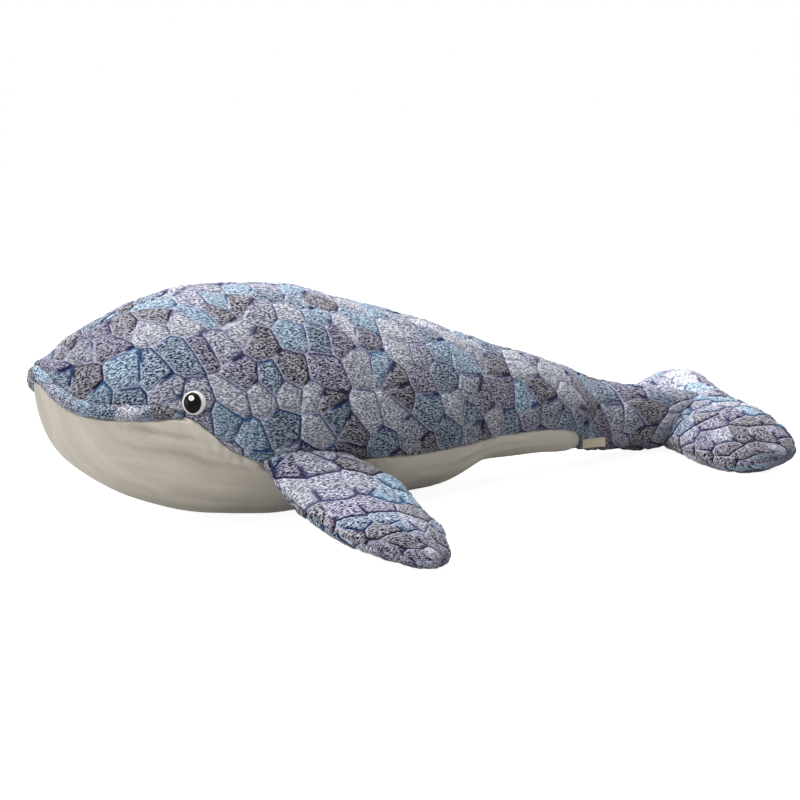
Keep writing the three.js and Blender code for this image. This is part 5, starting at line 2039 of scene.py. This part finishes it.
class WHALE_OT_stage(bpy.types.Operator):
    """Set up the camera, the lamps and the floor"""

    bl_idname = "whale.stage"
    bl_label = "Stage"

    def execute(self, context):
        stage()
        return {"FINISHED"}


class WHALE_OT_filling(bpy.types.Operator):
    """Fill the body and the stock"""

    bl_idname = "whale.filling"
    bl_label = "Body Filling"

    def execute(self, context):
        filling()
        return {"FINISHED"}


class WHALE_OT_side_covers(bpy.types.Operator):
    """Sew the fleece covers of both sides"""

    bl_idname = "whale.side_covers"
    bl_label = "Side Covers"

    def execute(self, context):
        side_covers()
        return {"FINISHED"}


class WHALE_OT_belly_cover(bpy.types.Operator):
    """Sew the plush belly with its throat folds"""

    bl_idname = "whale.belly_cover"
    bl_label = "Belly"

    def execute(self, context):
        belly_cover()
        return {"FINISHED"}


class WHALE_OT_lip_roll(bpy.types.Operator):
    """Roll and fill the lip along the mouth"""

    bl_idname = "whale.lip_roll"
    bl_label = "Lip Roll"

    def execute(self, context):
        lip_roll()
        return {"FINISHED"}


class WHALE_OT_flippers(bpy.types.Operator):
    """Sew and fill both flippers"""

    bl_idname = "whale.flippers"
    bl_label = "Flippers"

    def execute(self, context):
        flippers()
        return {"FINISHED"}


class WHALE_OT_flukes(bpy.types.Operator):
    """Sew and fill the flukes"""

    bl_idname = "whale.flukes"
    bl_label = "Flukes"

    def execute(self, context):
        flukes()
        return {"FINISHED"}


class WHALE_OT_eyes(bpy.types.Operator):
    """Fit both button eyes"""

    bl_idname = "whale.eyes"
    bl_label = "Eyes"

    def execute(self, context):
        eye_pieces()
        return {"FINISHED"}


class WHALE_OT_body_seams(bpy.types.Operator):
    """Stitch the seams of the body"""

    bl_idname = "whale.body_seams"
    bl_label = "Body Seams"

    def execute(self, context):
        body_seams()
        return {"FINISHED"}


class WHALE_OT_limb_seams(bpy.types.Operator):
    """Stitch the seams of the flippers and the flukes"""

    bl_idname = "whale.limb_seams"
    bl_label = "Limb Seams"

    def execute(self, context):
        limb_seams()
        return {"FINISHED"}


class WHALE_OT_care_label(bpy.types.Operator):
    """Sew in the bare care label"""

    bl_idname = "whale.care_label"
    bl_label = "Care Label"

    def execute(self, context):
        care_label()
        return {"FINISHED"}


OPERATORS = (
    WHALE_OT_stage,
    WHALE_OT_filling,
    WHALE_OT_side_covers,
    WHALE_OT_belly_cover,
    WHALE_OT_lip_roll,
    WHALE_OT_flippers,
    WHALE_OT_flukes,
    WHALE_OT_eyes,
    WHALE_OT_body_seams,
    WHALE_OT_limb_seams,
    WHALE_OT_care_label,
)


class WHALE_PT_panel(bpy.types.Panel):
    """Lists the steps of making the whale."""

    bl_idname = "WHALE_PT_panel"
    bl_label = "Stuffed Whale"
    bl_space_type = "VIEW_3D"
    bl_region_type = "UI"
    bl_category = "Whale"

    def draw(self, context):
        for step_class in OPERATORS:
            self.layout.operator(step_class.bl_idname)


GROUPS = {
    "whale_form": WhaleForm,
    "whale_limbs": WhaleLimbs,
    "whale_eyes": WhaleEyes,
    "whale_label": WhaleLabel,
    "whale_finish": WhaleFinish,
    "whale_stage": WhaleStage,
}


def register():
    for name, group in GROUPS.items():
        bpy.utils.register_class(group)
        setattr(bpy.types.Scene, name, PointerProperty(type=group))
    for made in (*OPERATORS, WHALE_PT_panel):
        bpy.utils.register_class(made)


def unregister():
    for made in (WHALE_PT_panel, *reversed(OPERATORS)):
        bpy.utils.unregister_class(made)
    for name, group in GROUPS.items():
        delattr(bpy.types.Scene, name)
        bpy.utils.unregister_class(group)


def main():
    register()
    for step_class in OPERATORS:
        name = step_class.bl_idname.split(".")[1]
        getattr(bpy.ops.whale, name)()
    boxes = {"cad": CAD_BOX, "visual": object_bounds()}
    {name: [list(corner) for corner in box] for name, box in boxes.items()}


if __name__ == "__main__":
    main()
